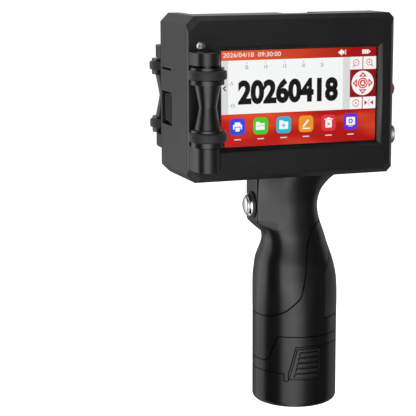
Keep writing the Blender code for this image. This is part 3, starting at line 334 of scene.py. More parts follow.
@dataclass(frozen=True)
class Metal(Finish):
    """Plated or turned metal, with fine tool lines along one axis."""

    name: str
    colour: Colour
    roughness: float
    lines: float = 3000.0
    along: Axis = Axis.X
    depth: float = 0.05

    def material(self) -> bpy.types.Material:
        """Makes the finished material."""
        made, wiring, shader = self.start(Metallic=1.0)
        squash = Vector((0.04, 0.04, 0.04))
        squash["XYZ".index(self.along.value)] = 1.0
        stretched = wiring.place("ShaderNodeMapping", {"Vector": wiring.here(), "Scale": squash})
        noise = wiring.noise(stretched.outputs[0], Scale=self.lines, Detail=3.0)
        shift = wiring.group(SMUDGES).outputs["Shift"]
        tint = wiring.mix(noise, toned(self.colour, 0.86), self.colour)
        streak = wiring.spread(noise, 0.3, 0.7, -0.04, 0.04)
        rough = wiring.sum("ADD", wiring.sum("ADD", streak, self.roughness), shift)
        wiring.join(shader, Base_Color=tint, Roughness=rough, Normal=wiring.bump(noise, self.depth, 0.0001))
        return made


@dataclass(frozen=True)
class TouchGlass(Finish):
    """The clear cover of the display, with faint smears."""

    name: str = "touch_cover_glass"

    def material(self) -> bpy.types.Material:
        """Makes the finished material."""
        made, wiring, shader = self.start(Base_Color=(0.97, 0.98, 0.98, 1.0), Transmission_Weight=1.0,
                                          IOR=1.3)
        shift = wiring.group(SMUDGES, Amount=0.05).outputs["Shift"]
        wiring.join(shader, Roughness=wiring.sum("MAXIMUM", shift, 0.0))
        return made


@dataclass(frozen=True)
class LitInk(Finish):
    """A lit colour of the display, which may run from one colour to another across it.

    start_x and end_x are where the run starts and ends, and glow adds a diagonal flare.
    """

    name: str
    colour: Colour
    other: Colour | None = None
    start_x: float = 0.0
    end_x: float = 1.0
    glow: Colour | None = None

    def material(self) -> bpy.types.Material:
        """Makes the finished material."""
        made, wiring, shader = self.start(Roughness=0.3, Emission_Strength=1.0, Specular_IOR_Level=0.2,
                                          Base_Color=(0.0, 0.0, 0.0, 1.0))
        spot = wiring.here()
        share = wiring.spread(wiring.part(spot, "X"), self.start_x, self.end_x)
        lit = wiring.mix(share, self.colour, self.other or self.colour)
        if self.glow:
            slanted = wiring.place("ShaderNodeMapping", {
                "Vector": spot, "Rotation": (0.0, 0.5, 0.0), "Scale": (12.0, 1.0, 60.0)})
            flare = wiring.noise(slanted.outputs[0], Scale=1.6, Detail=1.0)
            lit = wiring.mix(wiring.spread(flare, 0.45, 0.75, 0.0, 0.85), lit, self.glow)
        grid = wiring.spread(wiring.noise(spot, Scale=5000.0), 0.3, 0.7, 0.97, 1.0)
        level = wiring.place("ShaderNodeCombineColor", {0: grid, 1: grid, 2: grid})
        shown = wiring.place("ShaderNodeMix", {0: 1.0, 6: lit, 7: level.outputs[0]}, data_type="RGBA",
                             blend_type="MULTIPLY")
        wiring.join(shader, Emission_Color=shown.outputs[2])
        return made


@dataclass(frozen=True)
class CircuitMask(Finish):
    """Solder mask over copper tracks."""

    name: str = "circuit_mask"

    def material(self) -> bpy.types.Material:
        """Makes the finished material."""
        made, wiring, shader = self.start(Roughness=0.35)
        tracks = wiring.place("ShaderNodeTexBrick", {
            "Vector": wiring.here(), "Scale": 260.0, "Color1": (0.01, 0.11, 0.04, 1.0),
            "Color2": (0.012, 0.14, 0.05, 1.0), "Mortar": (0.03, 0.22, 0.09, 1.0), "Mortar Size": 0.03})
        relief = wiring.bump(tracks.outputs["Fac"], 0.3, 0.0001)
        wiring.join(shader, Base_Color=tracks.outputs["Color"], Normal=relief)
        return made


@dataclass(frozen=True)
class PrintedFilm(Finish):
    """Printed film: a wrap with a band of another colour between two heights."""

    name: str
    colour: Colour
    band: Colour
    band_low: float
    band_high: float
    roughness: float = 0.4

    def material(self) -> bpy.types.Material:
        """Makes the finished material."""
        made, wiring, shader = self.start()
        up = wiring.part(wiring.here(), "Z")
        above = wiring.sum("GREATER_THAN", up, self.band_low)
        inside = wiring.sum("MULTIPLY", above, wiring.sum("LESS_THAN", up, self.band_high))
        rough = wiring.sum("ADD", wiring.group(SMUDGES).outputs["Shift"], self.roughness)
        wiring.join(shader, Base_Color=wiring.mix(inside, self.colour, self.band), Roughness=rough)
        return made


# ---------------------------------------------------------------- shapes

def shown_object(name: str, mesh: bpy.types.Mesh) -> bpy.types.Object:
    """Puts a mesh in the scene as an object at the origin."""
    made = bpy.data.objects.new(name, mesh)
    bpy.context.scene.collection.objects.link(made)
    return made


def from_bmesh(name: str, bm: bmesh.types.BMesh, sharp: float = SHARP) -> bpy.types.Object:
    """Makes an object from a bmesh, with outward faces and smooth shading.

    Args:
        name: The object's name.
        bm: The shape, which is freed.
        sharp: The angle in degrees past which an edge stays sharp.

    Returns:
        The new object.
    """
    bmesh.ops.recalc_face_normals(bm, faces=bm.faces)
    mesh = bpy.data.meshes.new(name)
    bm.to_mesh(mesh)
    bm.free()
    mesh.shade_smooth()
    mesh.set_sharp_from_angle(angle=math.radians(sharp))
    return shown_object(name, mesh)


def apply_all(obj: bpy.types.Object) -> bpy.types.Object:
    """Applies an object's modifiers to its mesh and returns the object."""
    mesh = bpy.data.meshes.new_from_object(obj.evaluated_get(bpy.context.evaluated_depsgraph_get()))
    obj.modifiers.clear()
    old = obj.data
    obj.data = mesh
    bpy.data.meshes.remove(old)
    return obj


def settle(obj: bpy.types.Object) -> None:
    """Applies an object's modifiers to its mesh and shades it again."""
    apply_all(obj)
    obj.data.shade_smooth()
    obj.data.set_sharp_from_angle(angle=math.radians(SHARP))


def carve(obj: bpy.types.Object, how: Cut, *tools: bpy.types.Object) -> bpy.types.Object:
    """Cuts, joins or trims a solid with tools, which are used up.

    Args:
        obj: The solid.
        how: What the tools do to it.
        *tools: The tools.

    Returns:
        The same object with its new mesh.
    """
    for tool in tools:
        step = obj.modifiers.new("carve", "BOOLEAN")
        step.operation = how.value
        step.solver = "MANIFOLD"
        step.object = tool
    settle(obj)
    for tool in tools:
        bpy.data.objects.remove(tool, do_unlink=True)
    return obj


def twin(obj: bpy.types.Object, name: str) -> bpy.types.Object:
    """Copies an object with its own mesh."""
    return shown_object(name, obj.data.copy())


def axis_frame(along: Axis, place: Sequence[float]) -> Matrix:
    """Maps local Z to an axis of the model, and the origin to a place.

    Args:
        along: The axis.
        place: Where local zero goes.

    Returns:
        The matrix.
    """
    turns = {Axis.X: Matrix(((0, 0, 1), (1, 0, 0), (0, 1, 0))),
             Axis.Y: Matrix(((1, 0, 0), (0, 0, 1), (0, -1, 0))),
             Axis.Z: Matrix.Identity(3)}
    return Matrix.Translation(Vector(place)) @ turns[along].to_4x4()


def softened(points: Sequence[Flat], radius: float, steps: int = 4) -> Outline:
    """Rounds the inner corners of an open line of points.

    Args:
        points: The line.
        radius: How far from a corner its curve starts, at most.
        steps: How many pieces each curve has.

    Returns:
        The rounded line.
    """
    line = [points[0]]
    for before, corner, after in zip(points, points[1:], points[2:]):
        here = Vector(corner)
        reach = [Vector(before) - here, Vector(after) - here]
        if min(side.length for side in reach) < 1e-7:
            continue
        start, end = (here + side.normalized() * min(radius, side.length * 0.45) for side in reach)
        for i in range(steps + 1):
            share = i / steps
            bent = start * (1 - share) ** 2 + here * 2 * share * (1 - share) + end * share ** 2
            line.append((bent.x, bent.y))
    line.append(points[-1])
    return line


def softened_loop(points: Sequence[Flat], radius: float) -> Outline:
    """Rounds every corner of a closed line of points."""
    return softened([*points, *points[:2]], radius)[1:-1]


def turned(name: str, profile: Sequence[Flat], place: Sequence[float], along: Axis = Axis.Z,
           steps: int = 96, ring: bool = False) -> bpy.types.Object:
    """Turns a profile about an axis.

    Args:
        name: The object's name.
        profile: Points of (radius, distance along the axis).
        place: A point on the axis, from which distances are measured.
        along: The axis.
        steps: How many sides the turned shape has.
        ring: Whether the profile closes on itself.

    Returns:
        The turned solid.
    """
    bm = bmesh.new()
    rows = []
    for radius, height in profile:
        if radius < 1e-7:
            rows.append([bm.verts.new((0.0, 0.0, height))] * steps)
            continue
        angles = (TURN * i / steps for i in range(steps))
        rows.append([bm.verts.new((radius * math.cos(a), radius * math.sin(a), height)) for a in angles])
    pairs = list(zip(rows, rows[1:])) + ([(rows[-1], rows[0])] if ring else [])
    for low, high in pairs:
        for i in range(steps):
            j = (i + 1) % steps
            corners = list(dict.fromkeys((low[i], low[j], high[j], high[i])))
            if len(corners) > 2:
                bm.faces.new(corners)
    bmesh.ops.transform(bm, verts=bm.verts, matrix=axis_frame(along, place))
    return from_bmesh(name, bm)


def extruded(name: str, outline: Sequence[Flat], along: Axis, ends: Flat) -> bpy.types.Object:
    """Carries a flat outline along an axis.

    Args:
        name: The object's name.
        outline: Points in the other two coordinates, in the order of their names.
        along: The axis.
        ends: Where it starts and ends.

    Returns:
        The solid.
    """
    def corner(u: float, v: float, w: float) -> Vector:
        """Puts the outline's coordinates and the depth in their order."""
        return {Axis.X: Vector((w, u, v)), Axis.Y: Vector((u, w, v)), Axis.Z: Vector((u, v, w))}[along]

    bm = bmesh.new()
    low, high = ([bm.verts.new(corner(u, v, end)) for u, v in outline] for end in ends)
    count = len(outline)
    bm.faces.new(low)
    bm.faces.new(high[::-1])
    for i in range(count):
        j = (i + 1) % count
        bm.faces.new((low[i], low[j], high[j], high[i]))
    return from_bmesh(name, bm)


def arc_points(centre: Flat, radius: float, start: float, end: float, steps: int) -> Outline:
    """Points on an arc between two angles in degrees."""
    angles = [math.radians(start + (end - start) * i / steps) for i in range(steps + 1)]
    return [(centre[0] + radius * math.cos(a), centre[1] + radius * math.sin(a)) for a in angles]


def eased_copy(node: str, name: str, edge: float, shortest: float) -> bpy.types.Object:
    """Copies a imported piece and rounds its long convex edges, as a mould leaves them.

    Args:
        node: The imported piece.
        name: The copy's name.
        edge: The radius of the rounded edges.
        shortest: The length below which an edge is left sharp.

    Returns:
        The copy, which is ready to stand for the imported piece.
    """
    bm = bmesh.new()
    bm.from_mesh(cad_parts[node].data)
    bmesh.ops.remove_doubles(bm, verts=bm.verts, dist=1e-6)
    bmesh.ops.dissolve_limit(bm, angle_limit=math.radians(0.4), verts=bm.verts, edges=bm.edges)
    bent = math.radians(20)
    long_edges = [e for e in bm.edges if e.is_manifold and e.calc_length() > shortest
                  and e.calc_face_angle_signed(0.0) > bent]
    bmesh.ops.bevel(bm, geom=long_edges, offset=edge, segments=3, profile=0.5, affect="EDGES",
                    clamp_overlap=True)
    return flat_faced(from_bmesh(name, bm, 28))


def flat_faced(obj: bpy.types.Object) -> bpy.types.Object:
    """Keeps the shading of large faces flat, so that only the rounded edges catch a light."""
    even = obj.modifiers.new("even_faces", "WEIGHTED_NORMAL")
    even.weight = 90
    even.keep_sharp = True
    return apply_all(obj)


def middle(node: str) -> Vector:
    """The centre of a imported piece's box."""
    low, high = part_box(node)
    return (low + high) / 2


def dress(piece: bpy.types.Object, body: Body, slot: str, looks: Sequence[bpy.types.Material],
          *nodes: str) -> None:
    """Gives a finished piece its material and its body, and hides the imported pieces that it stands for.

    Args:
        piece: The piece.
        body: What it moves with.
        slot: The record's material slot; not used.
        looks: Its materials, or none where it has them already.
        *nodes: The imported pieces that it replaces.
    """
    if looks:
        if piece.data.materials:
            piece.data.materials.clear()
        for look in looks:
            piece.data.materials.append(look)
    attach(piece, body.value)
    if nodes:
        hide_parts(*nodes)
    LOG.info("%s on %s: %d faces", piece.name, body.value, len(piece.data.polygons))


def repaint(look: bpy.types.Material, *nodes: str) -> None:
    """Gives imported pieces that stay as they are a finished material."""
    for node in nodes:
        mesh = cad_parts[node].data
        mesh.materials.clear()
        mesh.materials.append(look)


# ---------------------------------------------------------------- patterns that repeat

class Pattern:
    """A Geometry Nodes tree that grows one kind of repeated detail."""

    label: str
    sizes: Mapping[str, float]

    def __init__(self) -> None:
        """Builds the tree with its named inputs."""
        self.tree = bpy.data.node_groups.new(self.label, "GeometryNodeTree")
        for name, usual in self.sizes.items():
            socket = self.tree.interface.new_socket(name=name, in_out="INPUT", socket_type="NodeSocketFloat")
            socket.default_value = usual
        self.tree.interface.new_socket(name="Finish", in_out="INPUT", socket_type="NodeSocketMaterial")
        self.tree.interface.new_socket(name="Geometry", in_out="OUTPUT", socket_type="NodeSocketGeometry")
        self.wiring = Wiring(self.tree)
        self.given = self.wiring.place("NodeGroupInput")
        shape = self.wire(self.given.outputs)
        real = self.wiring.place("GeometryNodeRealizeInstances", {"Geometry": shape})
        painted = self.wiring.place("GeometryNodeSetMaterial", {
            "Geometry": real.outputs[0], "Material": self.given.outputs["Finish"]})
        self.wiring.place("NodeGroupOutput", {"Geometry": painted.outputs[0]})

    def wire(self, given: object) -> bpy.types.NodeSocket:
        """Wires the pattern and returns its geometry, before instances are realised."""
        raise NotImplementedError

    def grow(self, name: str, look: bpy.types.Material, **values: float) -> bpy.types.Object:
        """Grows the pattern as a plain mesh.

        Args:
            name: The object's name.
            look: Its material.
            **values: The tree's inputs, with _ for each space.

        Returns:
            The object.
        """
        obj = shown_object(name, bpy.data.meshes.new(name))
        grower = obj.modifiers.new("grow", "NODES")
        grower.node_group = self.tree
        wanted = {key.replace("_", " "): value for key, value in values.items()} | {"Finish": look}
        for item in self.tree.interface.items_tree:
            if item.in_out == "INPUT" and item.name in wanted:
                grower[item.identifier] = wanted[item.name]
        settle(obj)
        bm = bmesh.new()
        bm.from_mesh(obj.data)
        bmesh.ops.recalc_face_normals(bm, faces=bm.faces)
        bm.to_mesh(obj.data)
        bm.free()
        return obj


class HourglassRoller(Pattern):
    """A guide roller's hub: two grooved wheels on a core that narrows to its middle.

    Radii run along the hub by a rule, so every turn of it is worked out from these sizes.
    """

    label = "hourglass_roller"
    sizes = {"Low": 0.0, "Height": 0.04, "Centre X": 0.0, "Centre Y": 0.0, "Rim": 0.009, "Waist": 0.005,
             "Seat": 0.008, "Lower Rim": 0.0026, "Upper Rim": 0.0014, "Groove": 0.005, "Sides": 96.0,
             "Rings": 220.0, "Shoulder": 0.0072}

    def wire(self, given: object) -> bpy.types.NodeSocket:
        """Wires a cylinder whose rings take their radius from their height."""
        wiring = self.wiring
        tube = wiring.place("GeometryNodeMeshCylinder", {
            "Vertices": given["Sides"], "Side Segments": given["Rings"], "Radius": 1.0,
            "Depth": given["Height"]}, fill_type="NGON")
        place = wiring.place("GeometryNodeInputPosition").outputs[0]
        spot = wiring.place("ShaderNodeSeparateXYZ", {0: place})
        half = wiring.sum("DIVIDE", given["Height"], 2.0)
        height = wiring.sum("ADD", spot.outputs["Z"], half)
        wheel = wiring.sum("ADD", wiring.sum("ADD", given["Lower Rim"], given["Upper Rim"]), given["Groove"])
        top_start = wiring.sum("SUBTRACT", given["Height"], wheel)
        in_top = wiring.sum("GREATER_THAN", height, top_start)
        in_low = wiring.sum("LESS_THAN", height, wheel)
        own = wiring.sum("SUBTRACT", height, wiring.sum("MULTIPLY", in_top, top_start))
        past_rim = wiring.sum("GREATER_THAN", own, given["Lower Rim"])
        groove_end = wiring.sum("ADD", given["Lower Rim"], given["Groove"])
        in_groove = wiring.sum("MULTIPLY", past_rim, wiring.sum("LESS_THAN", own, groove_end))
        dip = wiring.sum("MULTIPLY", in_groove, wiring.sum("SUBTRACT", given["Rim"], given["Seat"]))
        wheel_radius = wiring.sum("SUBTRACT", given["Rim"], dip)
        away = wiring.sum("ABSOLUTE", spot.outputs["Z"])
        share = wiring.sum("DIVIDE", away, wiring.sum("SUBTRACT", half, wheel))
        eased = wiring.sum("POWER", wiring.sum("MINIMUM", share, 1.0), 1.15)
        widening = wiring.sum("MULTIPLY", eased, wiring.sum("SUBTRACT", given["Shoulder"], given["Waist"]))
        core = wiring.sum("ADD", given["Waist"], widening)
        in_wheel = wiring.sum("MAXIMUM", in_top, in_low)
        gain = wiring.sum("MULTIPLY", in_wheel, wiring.sum("SUBTRACT", wheel_radius, core))
        radius = wiring.sum("ADD", core, gain)
        place = wiring.vector(wiring.sum("MULTIPLY_ADD", spot.outputs["X"], radius, given["Centre X"]),
                              wiring.sum("MULTIPLY_ADD", spot.outputs["Y"], radius, given["Centre Y"]),
                              wiring.sum("ADD", height, given["Low"]))
        return wiring.place("GeometryNodeSetPosition", {
            "Geometry": tube.outputs["Mesh"], "Position": place}).outputs[0]


class WrappedRibs(Pattern):
    """Thumb ribs that follow a round face, one above another between two slanted ends."""

    label = "wrapped_ribs"
    sizes = {"Count": 4.0, "Low": 0.0, "Pitch": 0.004, "Rib": 0.002, "Inner": 0.0248, "Proud": 0.0006,
             "Start Low": -0.009, "Start High": -0.006, "End": 0.0055, "Side": -1.0}

    def wire(self, given: object) -> bpy.types.NodeSocket:
        """Wires a row of bars that are then bent round the grip."""
        wiring = self.wiring
        bar = wiring.place("GeometryNodeMeshCube", {
            "Size": (1.0, 1.0, 1.0), "Vertices X": 20, "Vertices Y": 2, "Vertices Z": 2})
        sized = wiring.place("GeometryNodeTransform", {
            "Geometry": bar.outputs[0],
            "Scale": wiring.vector(1.0, 1.0, given["Rib"])})
        row = wiring.place("GeometryNodeMeshLine", {
            "Count": given["Count"], "Start Location": wiring.vector(z=given["Low"]),
            "Offset": wiring.vector(z=given["Pitch"])})
        copies = wiring.place("GeometryNodeInstanceOnPoints", {
            "Points": row.outputs[0], "Instance": sized.outputs[0]})
        real = wiring.place("GeometryNodeRealizeInstances", {"Geometry": copies.outputs[0]})
        place = wiring.place("GeometryNodeInputPosition").outputs[0]
        spot = wiring.place("ShaderNodeSeparateXYZ", {0: place})
        rise = wiring.sum("MULTIPLY", given["Pitch"], wiring.sum("SUBTRACT", given["Count"], 1.0))
        up = wiring.sum("DIVIDE", wiring.sum("SUBTRACT", spot.outputs["Z"], given["Low"]), rise)
        lean = wiring.sum("MULTIPLY", up, wiring.sum("SUBTRACT", given["Start High"], given["Start Low"]))
        start = wiring.sum("ADD", given["Start Low"], lean)
        share = wiring.sum("ADD", spot.outputs["X"], 0.5)
        across = wiring.sum("MULTIPLY_ADD", share, wiring.sum("SUBTRACT", given["End"], start), start)
        outward = wiring.sum("ADD", spot.outputs["Y"], 0.5)
        radius = wiring.sum("MULTIPLY_ADD", outward, given["Proud"], given["Inner"])
        depth = wiring.sum("SQRT", wiring.sum("SUBTRACT", wiring.sum("MULTIPLY", radius, radius),
                                              wiring.sum("MULTIPLY", across, across)))
        place = wiring.vector(across, wiring.sum("MULTIPLY", depth, given["Side"]), spot.outputs["Z"])
        return wiring.place("GeometryNodeSetPosition", {
            "Geometry": real.outputs[0], "Position": place}).outputs[0]


class DomeField(Pattern):
    """A field of small round-topped contacts on a flat, in rows and columns."""

    label = "dome_field"
    sizes = {"Columns": 6.0, "Rows": 4.0, "Wide": 0.01, "Deep": 0.01, "Centre X": 0.0, "Centre Y": 0.0,
             "Height": 0.0, "Dome": 0.0006, "Flatness": 0.5}

    def wire(self, given: object) -> bpy.types.NodeSocket:
        """Wires flattened balls on the points of a grid."""
        wiring = self.wiring
        grid = wiring.place("GeometryNodeMeshGrid", {
            "Size X": given["Wide"], "Size Y": given["Deep"], "Vertices X": given["Columns"],
            "Vertices Y": given["Rows"]})
        place = wiring.vector(given["Centre X"], given["Centre Y"], given["Height"])
        moved = wiring.place("GeometryNodeTransform", {"Geometry": grid.outputs[0], "Translation": place})
        ball = wiring.place("GeometryNodeMeshUVSphere", {"Segments": 12, "Rings": 6, "Radius": given["Dome"]})
        copies = wiring.place("GeometryNodeInstanceOnPoints", {
            "Points": moved.outputs[0], "Instance": ball.outputs[0],
            "Scale": wiring.vector(1.0, 1.0, given["Flatness"])})
        return copies.outputs[0]


class BarRow(Pattern):
    """Upright bars in a row, for the ruler of the display and the bars on the label."""

    label = "bar_row"
    sizes = {"Count": 6.0, "First": 0.0, "Pitch": 0.011, "Low": 0.0, "Bar": 0.0003, "Tall": 0.0012,
             "Face": 0.0, "Thick": 0.00002, "Jitter": 0.0}

    def wire(self, given: object) -> bpy.types.NodeSocket:
        """Wires thin boxes on the points of a line, with widths from a fixed seed."""
        wiring = self.wiring
        box = wiring.place("GeometryNodeMeshCube", {"Size": (1.0, 1.0, 1.0)})
        centre = wiring.sum("MULTIPLY_ADD", given["Tall"], 0.5, given["Low"])
        row = wiring.place("GeometryNodeMeshLine", {
            "Count": given["Count"], "Start Location": wiring.vector(given["First"], given["Face"], centre),
            "Offset": wiring.vector(given["Pitch"])})
        change = wiring.place("FunctionNodeRandomValue", {2: 0.0, 3: 1.0, "Seed": 7}, data_type="FLOAT")
        wide = wiring.sum("MULTIPLY_ADD", change.outputs[1], given["Jitter"], given["Bar"])
        copies = wiring.place("GeometryNodeInstanceOnPoints", {
            "Points": row.outputs[0], "Instance": box.outputs[0],
            "Scale": wiring.vector(wide, given["Thick"], given["Tall"])})
        return copies.outputs[0]


# ---------------------------------------------------------------- the printer's finishes

SHELL = Moulding("head_plastic", (0.008, 0.008, 0.0084), 0.33, depth=0.08, specular=0.42).material()
GRIP = Moulding("grip_plastic", (0.0055, 0.0055, 0.0058), 0.25, grain=3200.0, depth=0.04, rub_and_highlight=0.1,
                specular=0.45).material()
BUTTON = Moulding("release_plastic", (0.006, 0.006, 0.0063), 0.4, grain=3200.0).material()
STRAP = Moulding("backstrap_rubber", (0.011, 0.011, 0.011), 0.5, grain=1600.0, depth=0.2,
                 sheen=0.1).material()
ROLLER = Moulding("roller_plastic", (0.007, 0.007, 0.0073), 0.28, depth=0.04).material()
BAND = Moulding("band_rubber", (0.009, 0.009, 0.009), 0.62, grain=1500.0, depth=0.25, sheen=0.15).material()
INNER = Moulding("inner_plastic", (0.008, 0.008, 0.008), 0.6).material()
CARTRIDGE = Moulding("cartridge_plastic", (0.016, 0.016, 0.0165), 0.4).material()
RED = Moulding("button_red", (0.62, 0.035, 0.035), 0.22, depth=0.03, rub_and_highlight=0.1, dust=0.0).material()
CHROME = Metal("chrome_plate", (0.86, 0.86, 0.87), 0.09, along=Axis.X, depth=0.02).material()
SATIN_CHROME = Metal("satin_plate", (0.8, 0.8, 0.81), 0.24, along=Axis.X).material()
STEEL = Metal("turned_steel", (0.56, 0.56, 0.57), 0.3, along=Axis.Z).material()
GOLD = Metal("contact_gold", (0.84, 0.6, 0.26), 0.28, along=Axis.Y).material()
# Near black, far darker than real plate metal: painted shade where the plate sits deep in its window.
NOZZLE_SHADED = Metal("nozzle_plate", (0.014, 0.012, 0.010), 0.55, along=Axis.Z).material()
BRIGHT_SCREW = Metal("zinc_screw", (0.5, 0.5, 0.51), 0.34, along=Axis.Y).material()


# ---------------------------------------------------------------- display

class Ink(Enum):
    """The lit colours of the display, in the order of its material slots."""

    BAR = 0
    PANEL = 1
    WHITE = 2
    MARGIN = 3
    BLACK = 4
    GREY = 5
    DEEP_RED = 6
    RED = 7
    BLUE = 8
    GREEN = 9
    CYAN = 10
    ORANGE = 11
    PINK = 12
    VIOLET = 13


@dataclass
class Display:
    """The lit picture behind the touch glass: bars, a date code, a control pad and tiles.

    Places on it are in millimetres from its lower left corner.
    """

    margin: float = 0.0030
    sheet: float = 0.000012
    wide: float = 95.04
    tall: float = 53.86

    def __post_init__(self) -> None:
        """Finds the corner of the picture and starts its mesh."""
        low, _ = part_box("touch_glass")
        face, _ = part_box("lcd_panel")
        self.corner = Vector((low.x + self.margin, face.y - 0.00003, low.z + self.margin))
        self.bm = bmesh.new()

    def inks(self) -> list[bpy.types.Material]:
        """Makes the lit colours in slot order."""
        start = self.corner.x
        end = start + self.wide * MM
        plain = {
            Ink.WHITE: (252, 252, 252), Ink.MARGIN: (224, 224, 224), Ink.BLACK: (8, 8, 8),
            Ink.GREY: (120, 120, 120), Ink.DEEP_RED: (146, 8, 10), Ink.RED: (222, 40, 40),
            Ink.BLUE: (48, 72, 226), Ink.GREEN: (66, 208, 34), Ink.CYAN: (26, 190, 214),
            Ink.ORANGE: (244, 152, 34), Ink.PINK: (224, 54, 66), Ink.VIOLET: (104, 44, 216)}
        looks = {
            Ink.BAR: LitInk("lit_bar", from_screen(240, 96, 48), from_screen(170, 6, 8), start,
                            start + (end - start) * 0.85),
            Ink.PANEL: LitInk("lit_panel", from_screen(196, 20, 12), from_screen(176, 12, 10), start, end,
                              glow=from_screen(244, 88, 48))}
        looks |= {ink: LitInk(f"lit_{ink.name.lower()}", from_screen(*code)) for ink, code in plain.items()}
        return [looks[ink].material() for ink in Ink]

    def at(self, u: float, v: float, layer: float) -> Vector:
        """The place of a point of the picture on one of its layers."""
        return self.corner + Vector((u * MM, -layer * self.sheet, v * MM))

    def shape(self, points: Sequence[Flat], ink: Ink, layer: int) -> None:
        """Adds a flat shape as a thin plate.

        Args:
            points: Its outline, anticlockwise.
            ink: Its colour.
            layer: How many sheets it stands above the display's face.
        """
        back, front = ([self.bm.verts.new(self.at(u, v, level)) for u, v in points] for level in (0.0, layer))
        faces = [self.bm.faces.new(front), self.bm.faces.new(back[::-1])]
        count = len(points)
        for i in range(count):
            j = (i + 1) % count
            faces.append(self.bm.faces.new((back[i], back[j], front[j], front[i])))
        for face in faces:
            face.material_index = ink.value

    def block(self, u0: float, v0: float, u1: float, v1: float, ink: Ink, layer: int) -> None:
        """Adds a rectangle between two corners."""
        self.shape([(u0, v0), (u1, v0), (u1, v1), (u0, v1)], ink, layer)

    def disc(self, u: float, v: float, radius: float, ink: Ink, layer: int, steps: int = 48) -> None:
        """Adds a disc."""
        self.shape(arc_points((u, v), radius, 0, 360, steps)[:-1], ink, layer)

    def ring(self, u: float, v: float, radius: float, line: float, ink: Ink, ground: Ink, layer: int) -> None:
        """Adds a ring, as a disc of the ground's colour on a larger one."""
        self.disc(u, v, radius, ink, layer)
        self.disc(u, v, radius - line, ground, layer + 1)

    def tile(self, u: float, v: float, wide: float, tall: float, corner: float, ink: Ink, layer: int) -> None:
        """Adds a rectangle with round corners about its centre."""
        half_u, half_v = wide / 2 - corner, tall / 2 - corner
        points: Outline = []
        for start, (side_u, side_v) in zip((0, 90, 180, 270), ((1, 1), (-1, 1), (-1, -1), (1, -1))):
            points += arc_points((u + side_u * half_u, v + side_v * half_v), corner, start, start + 90, 8)
        self.shape(points, ink, layer)

    def stroke(self, start: Flat, end: Flat, line: float, ink: Ink, layer: int) -> None:
        """Adds a straight line of a given width."""
        along = (Vector(end) - Vector(start)).normalized() * (line / 2)
        side = Vector((-along.y, along.x))
        corners = (Vector(start) - side, Vector(end) - side, Vector(end) + side, Vector(start) + side)
        self.shape([(c.x, c.y) for c in corners], ink, layer)

    def numerals(self, text: str, box: tuple[float, float, float, float], weight: float, ink: Ink,
                 layer: int) -> None:
        """Adds numerals that fill a box.

        Args:
            text: The numerals.
            box: Left, bottom, right and top.
            weight: How far the strokes are thickened, as a share of the type size.
            ink: Their colour.
            layer: How many sheets they stand above the display's face.
        """
        curve = bpy.data.curves.new("numerals", "FONT")
        curve.body = text
        curve.offset = weight
        curve.extrude = 0.5
        curve.resolution_u = 4
        source = shown_object("numerals", curve)
        mesh = bpy.data.meshes.new_from_object(
            source.evaluated_get(bpy.context.evaluated_depsgraph_get()))
        points = [vertex.co for vertex in mesh.vertices]
        low = Vector(min(p[i] for p in points) for i in range(3))
        high = Vector(max(p[i] for p in points) for i in range(3))
        left, bottom, right, top = box
        for vertex in mesh.vertices:
            share = [(vertex.co[i] - low[i]) / (high[i] - low[i]) for i in range(3)]
            vertex.co = self.at(left + (right - left) * share[0], bottom + (top - bottom) * share[1],
                                layer * share[2])
        for polygon in mesh.polygons:
            polygon.material_index = ink.value
        self.bm.from_mesh(mesh)
        bpy.data.objects.remove(source, do_unlink=True)
        bpy.data.curves.remove(curve)
        bpy.data.meshes.remove(mesh)

    def bars(self) -> None:
        """Draws the status bar and the lower panel."""
        self.block(0, 0, self.wide, 18.4, Ink.PANEL, 1)
        self.block(0, 48.3, self.wide, self.tall, Ink.BAR, 1)
        self.numerals("2026/04/18  09:30:00", (1.6, 50.1, 36.0, 52.6), 0.0, Ink.WHITE, 2)
        self.shape([(71.0, 51.1), (73.6, 53.0), (73.6, 52.0), (75.0, 52.0), (75.0, 50.2), (73.6, 50.2),
                    (73.6, 49.2)], Ink.WHITE, 2)
        self.block(75.6, 49.6, 76.0, 52.6, Ink.WHITE, 2)
        for i in range(3):
            self.block(86.2 + i * 1.4, 49.9, 87.4 + i * 1.4, 52.3, Ink.WHITE, 2)
        self.block(90.4, 50.5, 91.2, 51.7, Ink.WHITE, 2)

    def page(self) -> None:
        """Draws the white page with its rulers and the date code."""
        self.block(0, 18.4, 78.7, 48.3, Ink.WHITE, 1)
        self.block(0, 18.4, 4.5, 48.3, Ink.MARGIN, 2)
        self.block(74.3, 18.4, 78.7, 48.3, Ink.MARGIN, 2)
        for i in range(5):
            centre = 15.6 + 11.4 * i
            self.numerals(str(5 * (i + 1)), (centre - 1.0, 43.4, centre + 1.0, 45.4), 0.0, Ink.GREY, 2)
        for i in range(2):
            height = 35.6 - 12.4 * i
            self.numerals(str(-5 * (i + 1)), (5.0, height - 1.0, 7.4 + i, height + 1.0), 0.0, Ink.GREY, 2)
        self.shape([(1.3, 33.0), (3.0, 31.4), (3.4, 31.9), (2.2, 33.0), (3.4, 34.1), (3.0, 34.6)],
                   Ink.BLACK, 3)
        self.numerals("20260418", (10.4, 23.5, 71.3, 37.6), 0.05, Ink.BLACK, 2)

